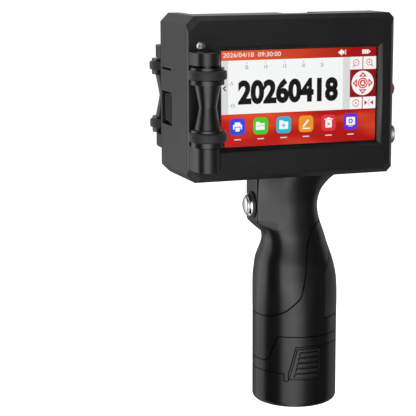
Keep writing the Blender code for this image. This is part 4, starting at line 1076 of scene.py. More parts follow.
    def pad(self) -> None:
        """Draws the control pad with its ring of arrows and the four keys round it."""
        left, right, line = 78.7, self.wide, 86.7
        self.block(left, 18.4, right, 48.3, Ink.WHITE, 1)
        self.block(left, 25.2, right, 41.1, Ink.DEEP_RED, 2)
        for low, high in ((18.4, 25.2), (41.1, 48.3)):
            self.block(line - 0.25, low, line + 0.25, high, Ink.DEEP_RED, 2)
        u, v = 86.8, 33.2
        self.disc(u, v, 7.0, Ink.WHITE, 3)
        for turn in range(4):
            spin = Matrix.Rotation(math.radians(90 * turn), 2)
            arrow = [spin @ Vector(point) for point in ((-2.5, 3.6), (2.5, 3.6), (0.0, 6.4))]
            self.shape([(u + p.x, v + p.y) for p in arrow], Ink.RED, 4)
            inner = [spin @ Vector(point) for point in ((-1.0, 4.2), (1.0, 4.2), (0.0, 5.3))]
            self.shape([(u + p.x, v + p.y) for p in inner], Ink.WHITE, 5)
        self.ring(u, v, 3.1, 0.7, Ink.RED, Ink.WHITE, 4)
        self.disc(u, v, 1.9, Ink.RED, 6)
        self.block(u - 1.0, v - 0.9, u + 1.0, v + 0.2, Ink.WHITE, 7)
        self.disc(u, v + 0.5, 0.6, Ink.WHITE, 7, 24)
        for centre, sign in ((82.6, -1), (90.8, 1)):
            self.ring(centre, 45.0, 1.9, 0.4, Ink.RED, Ink.WHITE, 2)
            self.stroke((centre + sign * 1.2, 43.6), (centre + sign * 2.2, 42.5), 0.5, Ink.RED, 4)
            self.block(centre - 0.8, 44.85, centre + 0.8, 45.15, Ink.RED, 4)
            if sign > 0:
                self.block(centre - 0.15, 44.2, centre + 0.15, 45.8, Ink.RED, 5)
        self.ring(82.6, 21.8, 2.1, 0.4, Ink.RED, Ink.WHITE, 2)
        self.block(80.3, 21.6, 84.9, 22.0, Ink.WHITE, 4)
        self.disc(82.6, 21.8, 0.5, Ink.RED, 5, 20)
        for sign in (-1, 1):
            self.shape([(90.8 + sign * 0.8, 21.8), (90.8 + sign * 2.8, 21.8 + sign * 1.4),
                        (90.8 + sign * 2.8, 21.8 - sign * 1.4)], Ink.RED, 2)
        self.block(90.7, 20.0, 90.9, 23.6, Ink.RED, 2)

    def tiles(self) -> None:
        """Draws the six round-cornered tiles with their signs."""
        signs: list[tuple[float, Ink, Callable[[float, float], None]]] = [
            (10.1, Ink.BLUE, self.printer_sign), (24.0, Ink.GREEN, self.folder_sign),
            (38.0, Ink.CYAN, self.new_sign), (51.7, Ink.ORANGE, self.pencil_sign),
            (65.7, Ink.PINK, self.bin_sign), (79.5, Ink.VIOLET, self.settings_sign)]
        for u, ink, sign in signs:
            self.tile(u, 11.2, 8.9, 9.4, 2.2, ink, 2)
            sign(u, 11.2)
            self.block(u - 2.0, 3.7, u + 2.0, 4.3, Ink.MARGIN, 2)

    def printer_sign(self, u: float, v: float) -> None:
        """A small printer with its sheet."""
        self.block(u - 1.7, v + 0.9, u + 1.7, v + 2.6, Ink.WHITE, 3)
        self.tile(u, v, 5.4, 2.8, 0.6, Ink.WHITE, 4)
        self.block(u - 1.8, v - 2.8, u + 1.8, v + 0.1, Ink.BLUE, 5)
        self.block(u - 1.3, v - 2.5, u + 1.3, v - 0.3, Ink.WHITE, 6)

    def folder_sign(self, u: float, v: float) -> None:
        """An open folder."""
        self.shape([(u - 2.9, v - 2.2), (u + 2.4, v - 2.2), (u + 2.4, v + 1.6), (u - 0.2, v + 1.6),
                    (u - 0.8, v + 2.4), (u - 2.9, v + 2.4)], Ink.WHITE, 3)
        self.stroke((u - 2.3, v - 0.1), (u + 3.0, v + 0.4), 0.35, Ink.GREEN, 4)

    def new_sign(self, u: float, v: float) -> None:
        """A folder with a plus."""
        self.shape([(u - 2.7, v - 2.4), (u + 2.7, v - 2.4), (u + 2.7, v + 1.8), (u + 0.2, v + 1.8),
                    (u - 0.5, v + 2.6), (u - 2.7, v + 2.6)], Ink.WHITE, 3)
        self.block(u - 1.3, v - 0.5, u + 1.3, v + 0.0, Ink.CYAN, 4)
        self.block(u - 0.25, v - 1.55, u + 0.25, v + 1.05, Ink.CYAN, 5)

    def pencil_sign(self, u: float, v: float) -> None:
        """A pencil over a line."""
        self.stroke((u - 1.3, v - 1.0), (u + 1.5, v + 2.2), 1.0, Ink.WHITE, 3)
        self.shape([(u - 1.7, v - 0.7), (u - 2.2, v - 2.1), (u - 0.9, v - 1.4)], Ink.WHITE, 3)
        self.block(u - 2.4, v - 2.9, u + 2.6, v - 2.3, Ink.WHITE, 3)

    def bin_sign(self, u: float, v: float) -> None:
        """A bin with its lid."""
        self.tile(u, v - 0.6, 4.0, 4.4, 0.5, Ink.WHITE, 3)
        self.block(u - 2.7, v + 1.8, u + 2.7, v + 2.4, Ink.WHITE, 4)
        self.block(u - 0.9, v + 2.4, u + 0.9, v + 3.0, Ink.WHITE, 4)
        for sign in (-1, 1):
            self.stroke((u - 0.9, v - 0.7 - sign * 0.9), (u + 0.9, v - 0.7 + sign * 0.9), 0.4, Ink.PINK, 5)

    def settings_sign(self, u: float, v: float) -> None:
        """A nut on a screen."""
        self.tile(u, v + 0.4, 5.6, 4.6, 0.4, Ink.WHITE, 3)
        self.block(u - 1.4, v - 2.7, u + 1.4, v - 2.3, Ink.WHITE, 3)
        self.disc(u, v + 0.4, 1.5, Ink.VIOLET, 4, 6)
        self.disc(u, v + 0.4, 0.7, Ink.WHITE, 5, 24)

    def build(self) -> None:
        """Builds the picture and its ruler and dresses the glass over them."""
        self.bars()
        self.page()
        self.pad()
        self.tiles()
        inks = self.inks()
        picture = from_bmesh("display_picture", self.bm)
        dress(picture, Body.PRINTER, "screen", inks)
        tick = self.at(15.6, 46.2, 1.5)
        ruler = BarRow().grow("display_ruler_ticks", inks[Ink.GREY.value], Count=5, First=tick.x,
                              Pitch=11.4 * MM, Low=tick.z, Bar=0.25 * MM, Tall=1.0 * MM, Face=tick.y,
                              Thick=self.sheet * 2)
        dress(ruler, Body.PRINTER, "screen", [])
        repaint(TouchGlass().material(), "touch_glass")


# ---------------------------------------------------------------- head

@dataclass
class Head:
    """The screen head: its two mouldings, their screw, and what is inside them."""

    edge: float = 0.00035
    screw_head: float = 0.0026
    slot: float = 0.0008
    slot_long: float = 0.0036

    def build(self) -> None:
        """Builds the head's mouldings and dresses its inner pieces."""
        housing = eased_copy("main_housing", "housing_moulding", self.edge, 0.006)
        dress(housing, Body.PRINTER, "shell", [SHELL], "main_housing")
        cover = eased_copy("front_panel", "front_cover", self.edge, 0.004)
        dress(cover, Body.PRINTER, "shell", [SHELL], "front_panel")
        self.cover_screw()
        self.contacts()
        repaint(CircuitMask().material(), "main_board", "battery_contact_plate")
        repaint(STEEL, "lcd_panel", "latch_pin", "charge_socket_nut", "handle_screw_left",
                "handle_screw_right")
        repaint(INNER, "contact_block", "terminal_block", "encoder_sensor", "trigger_switch")

    def cover_screw(self) -> None:
        """Builds the cross-head screw of the front cover."""
        low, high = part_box("panel_screw")
        centre = (low + high) / 2
        top, reach = low.y, self.screw_head
        seat = top + 0.0009
        profile = softened([(0.0, top), (reach * 0.72, top + 0.00012), (reach, seat - 0.0003), (reach, seat),
                            (0.0015, seat), (0.0015, high.y), (0.0, high.y)], 0.0003)
        screw = turned("cover_screw", profile, (centre.x, 0.0, centre.z), Axis.Y, 64)
        bars = []
        for wide, tall in ((self.slot_long, self.slot), (self.slot, self.slot_long)):
            left, right = centre.x - wide / 2, centre.x + wide / 2
            foot, head = centre.z - tall / 2, centre.z + tall / 2
            bars.append(extruded("cross_slot", [(left, foot), (right, foot), (right, head), (left, head)],
                                 Axis.Y, (top - 0.001, top + 0.0011)))
        dress(carve(screw, Cut.AWAY, *bars), Body.PRINTER, "chrome", [BRIGHT_SCREW], "panel_screw")

    def contacts(self) -> None:
        """Grows the sprung contacts under the cartridge."""
        centre, top = middle("contact_block"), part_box("contact_block")[1].z
        pins = DomeField().grow("bay_contact_pins", GOLD, Columns=6, Rows=4, Wide=0.0100, Deep=0.0090,
                                Centre_X=centre.x, Centre_Y=centre.y, Height=top, Dome=0.0005,
                                Flatness=0.5)
        dress(pins, Body.PRINTER, "contacts", [])


# ---------------------------------------------------------------- guide rollers

class Side(Enum):
    """The side of the head that a roller stands on."""

    FRONT = "front"
    REAR = "rear"


@dataclass
class GuideRoller:
    """One guide roller with its bands, axle, arms and bearings."""

    side: Side
    waist: float = 0.00485
    seat: float = 0.0082
    upper_rim: float = 0.0014
    lower_rim: float = 0.0026
    edge: float = 0.0004
    arm_edge: float = 0.0005

    def node(self, part: str) -> str:
        """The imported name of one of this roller's pieces."""
        return f"{self.side.value}_{part}"

    def build(self) -> None:
        """Builds the roller."""
        body = Body.FRONT_ROLLER if self.side is Side.FRONT else Body.REAR_ROLLER
        low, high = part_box(self.node("roller_hub"))
        axis = (low + high) / 2
        band_low, band_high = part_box(self.node("band_lower"))
        groove = band_high.z - band_low.z + 0.0006
        hub = HourglassRoller().grow(
            self.node("hub_turning"), ROLLER, Low=low.z, Height=high.z - low.z, Centre_X=axis.x,
            Centre_Y=axis.y, Rim=(high.x - low.x) / 2, Waist=self.waist, Seat=self.seat,
            Lower_Rim=self.lower_rim, Upper_Rim=self.upper_rim, Groove=groove)
        dress(hub, body, "grip", [], self.node("roller_hub"))
        for level in ("upper", "lower"):
            self.band(level, body)
            bracket = self.node(f"bracket_{level}")
            arm = eased_copy(bracket, self.node(f"arm_{level}"), self.arm_edge, 0.0006)
            dress(arm, Body.PRINTER, "shell", [SHELL], bracket)
        repaint(STEEL, self.node("roller_axle"), self.node("bush_upper"), self.node("bush_lower"))
        if self.side is Side.FRONT:
            repaint(STEEL, "encoder_disc")
            repaint(SHELL, "encoder_cap")

    def band(self, level: str, body: Body) -> None:
        """Builds a rubber band with round edges and a shallow crown."""
        node = self.node(f"band_{level}")
        low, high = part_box(node)
        outer, inner = (high.x - low.x) / 2, self.seat + 0.0003
        crown = outer - 0.00012
        centre = (low + high) / 2
        profile = [(inner, low.z), (crown, low.z), (outer, centre.z), (crown, high.z), (inner, high.z)]
        outside = softened(profile, self.edge * 1.5, 5)
        ring = turned(self.node(f"tyre_{level}"), outside, (centre.x, centre.y, 0.0), ring=True)
        dress(ring, body, "rubber", [BAND], node)


# ---------------------------------------------------------------- cartridge

@dataclass
class InkCartridge:
    """The ink cartridge in its bay, with its label, contacts and nozzle plate, and the latch."""

    edge: float = 0.0006
    bars: int = 18

    def build(self) -> None:
        """Builds the cartridge and its latch."""
        case = eased_copy("cartridge_body", "cartridge_case", self.edge, 0.0015)
        dress(case, Body.CARTRIDGE, "cartridge_shell", [CARTRIDGE], "cartridge_body")
        lever = eased_copy("cartridge_latch", "latch_lever", 0.0003, 0.0008)
        dress(lever, Body.LATCH, "grip", [SHELL], "cartridge_latch")
        low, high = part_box("cartridge_label")
        film = PrintedFilm("label_film", (0.72, 0.72, 0.7), (0.08, 0.08, 0.085),
                           low.z + 0.004, high.z - 0.014).material()
        repaint(film, "cartridge_label")
        code = BarRow().grow("label_bars", INNER, Count=self.bars, First=low.x + 0.005, Pitch=0.0009,
                             Low=high.z - 0.0105, Bar=0.00022, Tall=0.006, Face=low.y, Thick=0.00006,
                             Jitter=0.0004)
        dress(code, Body.CARTRIDGE, "label", [])
        centre, foot = middle("cartridge_contact_pads"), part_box("cartridge_contact_pads")[0].z
        pads = DomeField().grow("cartridge_contact_dots", GOLD, Columns=6, Rows=4, Wide=0.0100, Deep=0.0090,
                                Centre_X=centre.x, Centre_Y=centre.y, Height=foot, Dome=0.0006,
                                Flatness=0.12)
        dress(pads, Body.CARTRIDGE, "contacts", [])
        # The near black of the nozzle plate is painted shade of its recessed window.
        repaint(NOZZLE_SHADED, "cartridge_nozzle_plate")
        repaint(CircuitMask("flex_mask").material(), "cartridge_contact_pads")


# ---------------------------------------------------------------- side fittings

@dataclass
class SideFittings:
    """The power button and the charge socket on the right wall, and the trigger in the grip."""

    soft: float = 0.0003
    trigger_face: float = -0.0278

    def build(self) -> None:
        """Builds the fittings."""
        self.power_button()
        self.charge_socket()
        self.trigger()

    def power_button(self) -> None:
        """Builds the red button and its bezel."""
        low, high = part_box("power_button_cap")
        centre, reach = (low + high) / 2, (high.z - low.z) / 2
        bezel_low, bezel_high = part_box("power_button_bezel")
        shoulder = bezel_high.x + 0.0002
        angles = [math.radians(angle) for angle in range(90, -1, -6)]
        dome = [(reach * math.cos(a), shoulder + (high.x - shoulder) * math.sin(a)) for a in angles]
        dome[0] = (0.0, high.x)
        profile = dome + [(reach, low.x), (0.0, low.x)]
        cap = turned("power_button_dome", profile, (0.0, centre.y, centre.z), Axis.X)
        dress(cap, Body.POWER_BUTTON, "red_button", [RED], "power_button_cap")
        outer = (bezel_high.z - bezel_low.z) / 2
        wall = bezel_high.x - 0.0011
        bore = reach + 0.0003
        profile = [(bore, bezel_low.x), (bore, bezel_high.x), (outer - 0.0004, bezel_high.x), (outer, wall),
                   (reach + 0.0010, wall), (reach + 0.0010, bezel_low.x)]
        ring = turned("power_button_collar", softened(profile, self.soft), (0.0, centre.y, centre.z), Axis.X,
                      ring=True)
        dress(ring, Body.PRINTER, "shell", [SHELL], "power_button_bezel")

    def charge_socket(self) -> None:
        """Builds the plated socket with its thread."""
        low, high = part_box("charge_socket")
        centre, flange = (low + high) / 2, (high.z - low.z) / 2
        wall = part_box("main_housing")[1].x + 0.0003
        barrel, bore = flange - 0.0014, flange - 0.0026
        floor = wall - 0.0043
        line = [(0.0, floor), (bore, floor), (bore, high.x), (barrel, high.x)]
        turns = 4
        pitch = (high.x - wall - 0.0017) / turns
        for i in range(turns):
            top = high.x - 0.0002 - pitch * i
            crest = barrel + 0.0003
            line += [(barrel, top), (crest, top - pitch * 0.35), (crest, top - pitch * 0.6),
                     (barrel, top - pitch * 0.95)]
        line += [(barrel, wall + 0.0013), (flange, wall + 0.0013), (flange, wall), (barrel, wall),
                 (barrel, low.x), (0.0, low.x)]
        profile = softened(line, 0.00012, 2)
        socket = turned("charge_socket_barrel", profile, (0.0, centre.y, centre.z), Axis.X)
        dress(socket, Body.PRINTER, "chrome", [CHROME], "charge_socket")
        repaint(INNER, "charge_socket_insert")

    def trigger(self) -> None:
        """Builds the plated trigger ring and its domed button."""
        low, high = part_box("trigger_bezel")
        centre, flange = (low + high) / 2, (high.z - low.z) / 2
        axis = (0.0, centre.y, centre.z)
        cap_low, cap_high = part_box("trigger_button")
        cap = (cap_high.z - cap_low.z) / 2
        bore, barrel, ring = cap + 0.0003, cap + 0.0008, flange - 0.0012
        seat = self.trigger_face
        profile = [(bore, high.x), (barrel, high.x), (barrel, seat - 0.0004), (ring, seat - 0.0004),
                   (ring, low.x + 0.0012), (ring - 0.0009, low.x), (bore + 0.0003, low.x),
                   (bore, low.x + 0.0003)]
        collar = turned("trigger_ring", softened(profile, self.soft), axis, Axis.X, ring=True)
        dress(collar, Body.PRINTER, "chrome", [CHROME], "trigger_bezel")
        lip = [(barrel + 0.0001, seat), (barrel + 0.0001, seat - 0.0003), (ring + 0.0001, seat - 0.0003),
               (ring + 0.0001, seat - 0.0008), (flange - 0.0003, seat - 0.0008), (flange, seat - 0.0005),
               (flange, seat)]
        gasket = turned("trigger_gasket", softened(lip, 0.0001), axis, Axis.X, ring=True)
        dress(gasket, Body.PRINTER, "rubber", [BAND])
        dome = [(0.0, cap_low.x), (cap * 0.45, cap_low.x + 0.00012), (cap * 0.8, cap_low.x + 0.0004),
                (cap, cap_low.x + 0.0010), (cap, cap_high.x), (0.0, cap_high.x)]
        button = turned("trigger_cap", softened(dome, 0.0006, 6), axis, Axis.X)
        dress(button, Body.TRIGGER, "chrome", [SATIN_CHROME], "trigger_button")


# ---------------------------------------------------------------- grip and battery

@dataclass
class GripForm:
    """The outer form of the grip: a waisted neck that swells into the trigger boss.

    Depths are below the underside of the head. Each row of the neck has a depth, its left
    and right reach and its half depth. Each row of the boss has a depth, the reach of its
    flat face and the half width of that face. Flat flanks run from the face to the neck.
    """

    neck: tuple[tuple[float, float, float, float], ...] = (
        (0.0, -0.0240, 0.0262, 0.0212), (0.0018, -0.0238, 0.0230, 0.0202),
        (0.0038, -0.0236, 0.0201, 0.0192), (0.0080, -0.0232, 0.0159, 0.0172),
        (0.0120, -0.0228, 0.0135, 0.0160), (0.0200, -0.0220, 0.0120, 0.0150),
        (0.0280, -0.0212, 0.0134, 0.0155), (0.0350, -0.0203, 0.0159, 0.0170),
        (0.0394, -0.0196, 0.0173, 0.0178), (0.0440, -0.0205, 0.0188, 0.0192),
        (0.0480, -0.0221, 0.0202, 0.0206), (0.0520, -0.0233, 0.0215, 0.0220),
        (0.0570, -0.0239, 0.0228, 0.0230), (0.0620, -0.0244, 0.0237, 0.0239),
        (0.0700, -0.0247, 0.0245, 0.0246), (0.0830, -0.0250, 0.0250, 0.0250),
        (0.1300, -0.0250, 0.0250, 0.0250))
    boss: tuple[tuple[float, float, float], ...] = (
        (0.0, 0.0275, 0.0088), (0.0258, 0.0275, 0.0088), (0.0285, 0.0271, 0.0084),
        (0.0311, 0.0248, 0.0072), (0.0337, 0.0222, 0.0056), (0.0351, 0.0207, 0.0045),
        (0.0394, 0.0197, 0.0015), (0.0440, 0.0200, 0.0002), (0.0500, 0.0200, 0.0001),
        (0.1300, 0.0200, 0.0001))
    squareness: float = 2.3
    blend: float = 0.0014
    sides: int = 320
    step: float = 0.0009

    def __post_init__(self) -> None:
        """Finds the underside of the head."""
        self.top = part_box("main_housing")[0].z

    @staticmethod
    def through(rows: Sequence[Sequence[float]], depth: float) -> list[float]:
        """Reads a table of sizes at a depth, along smooth curves through its rows.

        Args:
            rows: The table, in order of depth.
            depth: The depth below the head.

        Returns:
            The sizes there.
        """
        last = len(rows) - 2
        i = max(0, min(last, sum(row[0] <= depth for row in rows) - 1))
        before, start, end, after = (rows[max(0, min(len(rows) - 1, i + k))] for k in (-1, 0, 1, 2))
        span = end[0] - start[0]
        share = min(1.0, max(0.0, (depth - start[0]) / span))
        found = []
        for k in range(1, len(start)):
            slopes = []
            for low, mid, high in ((before, start, end), (start, end, after)):
                left = (mid[k] - low[k]) / (mid[0] - low[0]) if mid[0] > low[0] else None
                right = (high[k] - mid[k]) / (high[0] - mid[0]) if high[0] > mid[0] else None
                both = [s for s in (left, right) if s is not None]
                flat = len(both) == 2 and both[0] * both[1] <= 0
                slopes.append(0.0 if flat else sum(both) / len(both))
            s2, s3 = share * share, share ** 3
            found.append((2 * s3 - 3 * s2 + 1) * start[k] + (s3 - 2 * s2 + share) * span * slopes[0]
                         + (3 * s2 - 2 * s3) * end[k] + (s3 - s2) * span * slopes[1])
        return found

    @staticmethod
    def tangent(left: float, half: float, q: float, reach: float, corner: float
                ) -> tuple[float, float, float]:
        """Finds the flank that runs from a corner of the boss and just touches the neck.

        Args:
            left: The neck's reach to the left.
            half: The neck's half depth.
            q: The exponent of the neck's support curve.
            reach: How far left the corner is.
            corner: How far forward the corner is.

        Returns:
            The flank's slope, its distance from the axis, and the ratio of left to forward
            where it touches. The slope is 0 where the corner is inside the neck.
        """
        def support(slope: float) -> float:
            """How far the neck reaches in the direction of a slope."""
            return ((left * math.sin(slope)) ** q + (half * math.cos(slope)) ** q) ** (1 / q)

        for slope in (math.radians(angle / 4) for angle in range(4, 320)):
            away = support(slope)
            if reach * math.sin(slope) + corner * math.cos(slope) >= away:
                ratio = (math.sin(slope) / math.cos(slope)) ** (q - 1) * (left / half) ** q
                return slope, away, ratio
        return 0.0, 0.0, 0.0

    def ring(self, depth: float) -> list[Vector]:
        """The outline of the grip at a depth below the head."""
        left, right, half = self.through(self.neck, depth)
        left = -left
        reach, corner = self.through(self.boss, depth)
        round_share = min(1.0, max(0.0, (depth - 0.0620) / 0.0200))
        p = self.squareness + (2.0 - self.squareness) * round_share
        slope, line, touch = self.tangent(left, half, p / (p - 1), reach, corner)
        points = []
        for i in range(self.sides):
            angle = TURN * i / self.sides
            c, s = math.cos(angle), math.sin(angle)
            radius = ((abs(c) / (right if c > 0 else left)) ** p + (abs(s) / half) ** p) ** (-1 / p)
            if slope > 0 and -c > touch * abs(s):
                flank = line / (-math.sin(slope) * c + math.cos(slope) * abs(s))
                face = reach / -c
                share = min(1.0, max(0.0, 0.5 + 0.5 * (face - flank) / self.blend))
                wedge = face + (flank - face) * share - self.blend * share * (1 - share)
                radius = max(radius, wedge)
            points.append(Vector((radius * c, radius * s, self.top - depth)))
        return points

    def solid(self, name: str, bottom: float) -> bpy.types.Object:
        """Lofts the form from the head down to a height, as a closed solid.

        Args:
            name: The object's name.
            bottom: The height at which it ends.

        Returns:
            The solid.
        """
        span = self.top - bottom
        step = self.step
        count = round(span / step)
        bm = bmesh.new()
        rings = [[bm.verts.new(p) for p in self.ring(span * k / count)] for k in range(count + 1)]
        for upper, lower in zip(rings, rings[1:]):
            for i in range(self.sides):
                j = (i + 1) % self.sides
                bm.faces.new((upper[i], upper[j], lower[j], lower[i]))
        bm.faces.new(rings[0])
        bm.faces.new(rings[-1][::-1])
        return from_bmesh(name, bm)


@dataclass
class Grip:
    """The grip's mouldings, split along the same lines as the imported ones."""

    gap: float = 0.0006
    tube_share: float = 0.88
    tube_depth: float = 0.0930
    bore: float = 0.0224
    stem_top: float = 0.0710
    ledge_bore: float = 0.0207
    ledge_rise: float = 0.0042
    handle_bore: float = 0.0190
    neck_bore: float = 0.0145
    trigger_hole: float = 0.0061
    block_reach: float = 0.0500
    sleeve_line: tuple[Flat, ...] = (
        (-0.0800, -0.0830), (-0.0213, -0.0830), (-0.0140, -0.0787), (-0.0063, -0.0710), (-0.0037, -0.0610),
        (-0.0014, -0.0480), (0.0005, -0.0385), (0.0048, -0.0310), (0.0125, -0.0265), (0.0800, -0.0260))
    collar_line: tuple[Flat, ...] = (
        (-0.0800, -0.1100), (-0.0221, -0.1100), (-0.0182, -0.0942), (0.0800, -0.0942))
    battery_line: tuple[Flat, ...] = (
        (-0.0800, -0.1165), (-0.0145, -0.1165), (-0.0145, -0.1209), (-0.0128, -0.1209), (-0.0128, -0.1165),
        (-0.0088, -0.1002), (0.0800, -0.1002))
    strap: tuple[Flat, ...] = (
        (0.0800, -0.0435), (0.0175, -0.0435), (0.0160, -0.0483), (0.0101, -0.0575), (0.0096, -0.0840),
        (0.0800, -0.0840))

    def __post_init__(self) -> None:
        """Finds the underside of the head."""
        self.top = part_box("main_housing")[0].z

    def region(self, line: Sequence[Flat], drop: float = 0.0, soft: float = 0.0020) -> bpy.types.Object:
        """A deep block under a stepped line, moved by the gap between two mouldings."""
        upper = [(x + drop, self.top + z - drop) for x, z in softened(line, soft, 5)]
        foot = [(0.08, -0.05), (-0.08, -0.05)]
        return extruded("region", upper + foot, Axis.Y, (-self.block_reach, self.block_reach))

    def strap_block(self, grow: float) -> bpy.types.Object:
        """The block that the backstrap is cut from, or its pocket where it is grown."""
        points = [(x - grow if x < 0.05 else x, self.top + z) for x, z in self.strap]
        for end, rise in ((0, grow), (1, grow), (-2, -grow), (-1, -grow)):
            points[end] = (points[end][0], points[end][1] + rise)
        return extruded("strap_block", points, Axis.Y, (-self.block_reach, self.block_reach))

    def hollowed(self) -> bpy.types.Object:
        """The grip's outer form with its battery bore and the trigger's bore."""
        bottom = self.top + self.battery_line[1][1] - 0.0060
        solid = GripForm().solid("grip_form", bottom)
        mouth, ledge = bottom - 0.002, self.stem_top
        shelf, shoulder, crown = ledge + self.ledge_rise, self.top - 0.0600, self.top - 0.0440
        profile = [(0.0, mouth), (self.bore, mouth), (self.bore, ledge), (self.ledge_bore, ledge),
                   (self.ledge_bore, shelf), (self.handle_bore, shelf), (self.handle_bore, shoulder),
                   (self.neck_bore, crown), (0.0, crown)]
        hollow = turned("battery_bore", profile, (0.0, 0.0, 0.0))
        trigger = middle("trigger_bezel")
        outer, inner = -self.block_reach, -0.005
        profile = [(0.0, outer), (self.trigger_hole, outer), (self.trigger_hole, inner), (0.0, inner)]
        barrel = turned("trigger_bore", profile, (0.0, trigger.y, trigger.z), Axis.X, 64)
        return carve(solid, Cut.AWAY, hollow, barrel)

    def skin(self, block: bpy.types.Object) -> bpy.types.Object:
        """Keeps the part of a block outside the inner tube that the outer mouldings lie on."""
        tube = GripForm().solid("inner_tube", self.top - self.tube_depth)
        tube.data.transform(Matrix.Diagonal((self.tube_share, self.tube_share, 1.0, 1.0)))
        return carve(block, Cut.AWAY, tube)

    def build(self) -> None:
        """Builds the four mouldings of the grip."""
        form = self.hollowed()
        shell = carve(twin(form, "grip_upper_moulding"), Cut.AWAY, self.skin(self.region(self.sleeve_line)))
        dress(shell, Body.PRINTER, "grip", [GRIP], "grip_shell")
        sleeve = carve(twin(form, "grip_sleeve_moulding"), Cut.SHARED,
                       self.skin(self.region(self.sleeve_line, self.gap)))
        sleeve = carve(sleeve, Cut.AWAY, self.region(self.collar_line), self.strap_block(self.gap))
        dress(sleeve, Body.PRINTER, "grip", [GRIP], "grip_sleeve")
        strap = carve(twin(form, "grip_backstrap_pad"), Cut.SHARED, self.skin(self.strap_block(0.0)))
        dress(strap, Body.PRINTER, "rubber", [STRAP], "grip_backstrap")
        collar = carve(form, Cut.SHARED, self.region(self.collar_line, self.gap))
        collar = carve(collar, Cut.AWAY, self.region(self.battery_line, soft=0.0004))
        collar.name = "grip_collar_moulding"
        dress(collar, Body.PRINTER, "grip", [GRIP], "battery_collar")


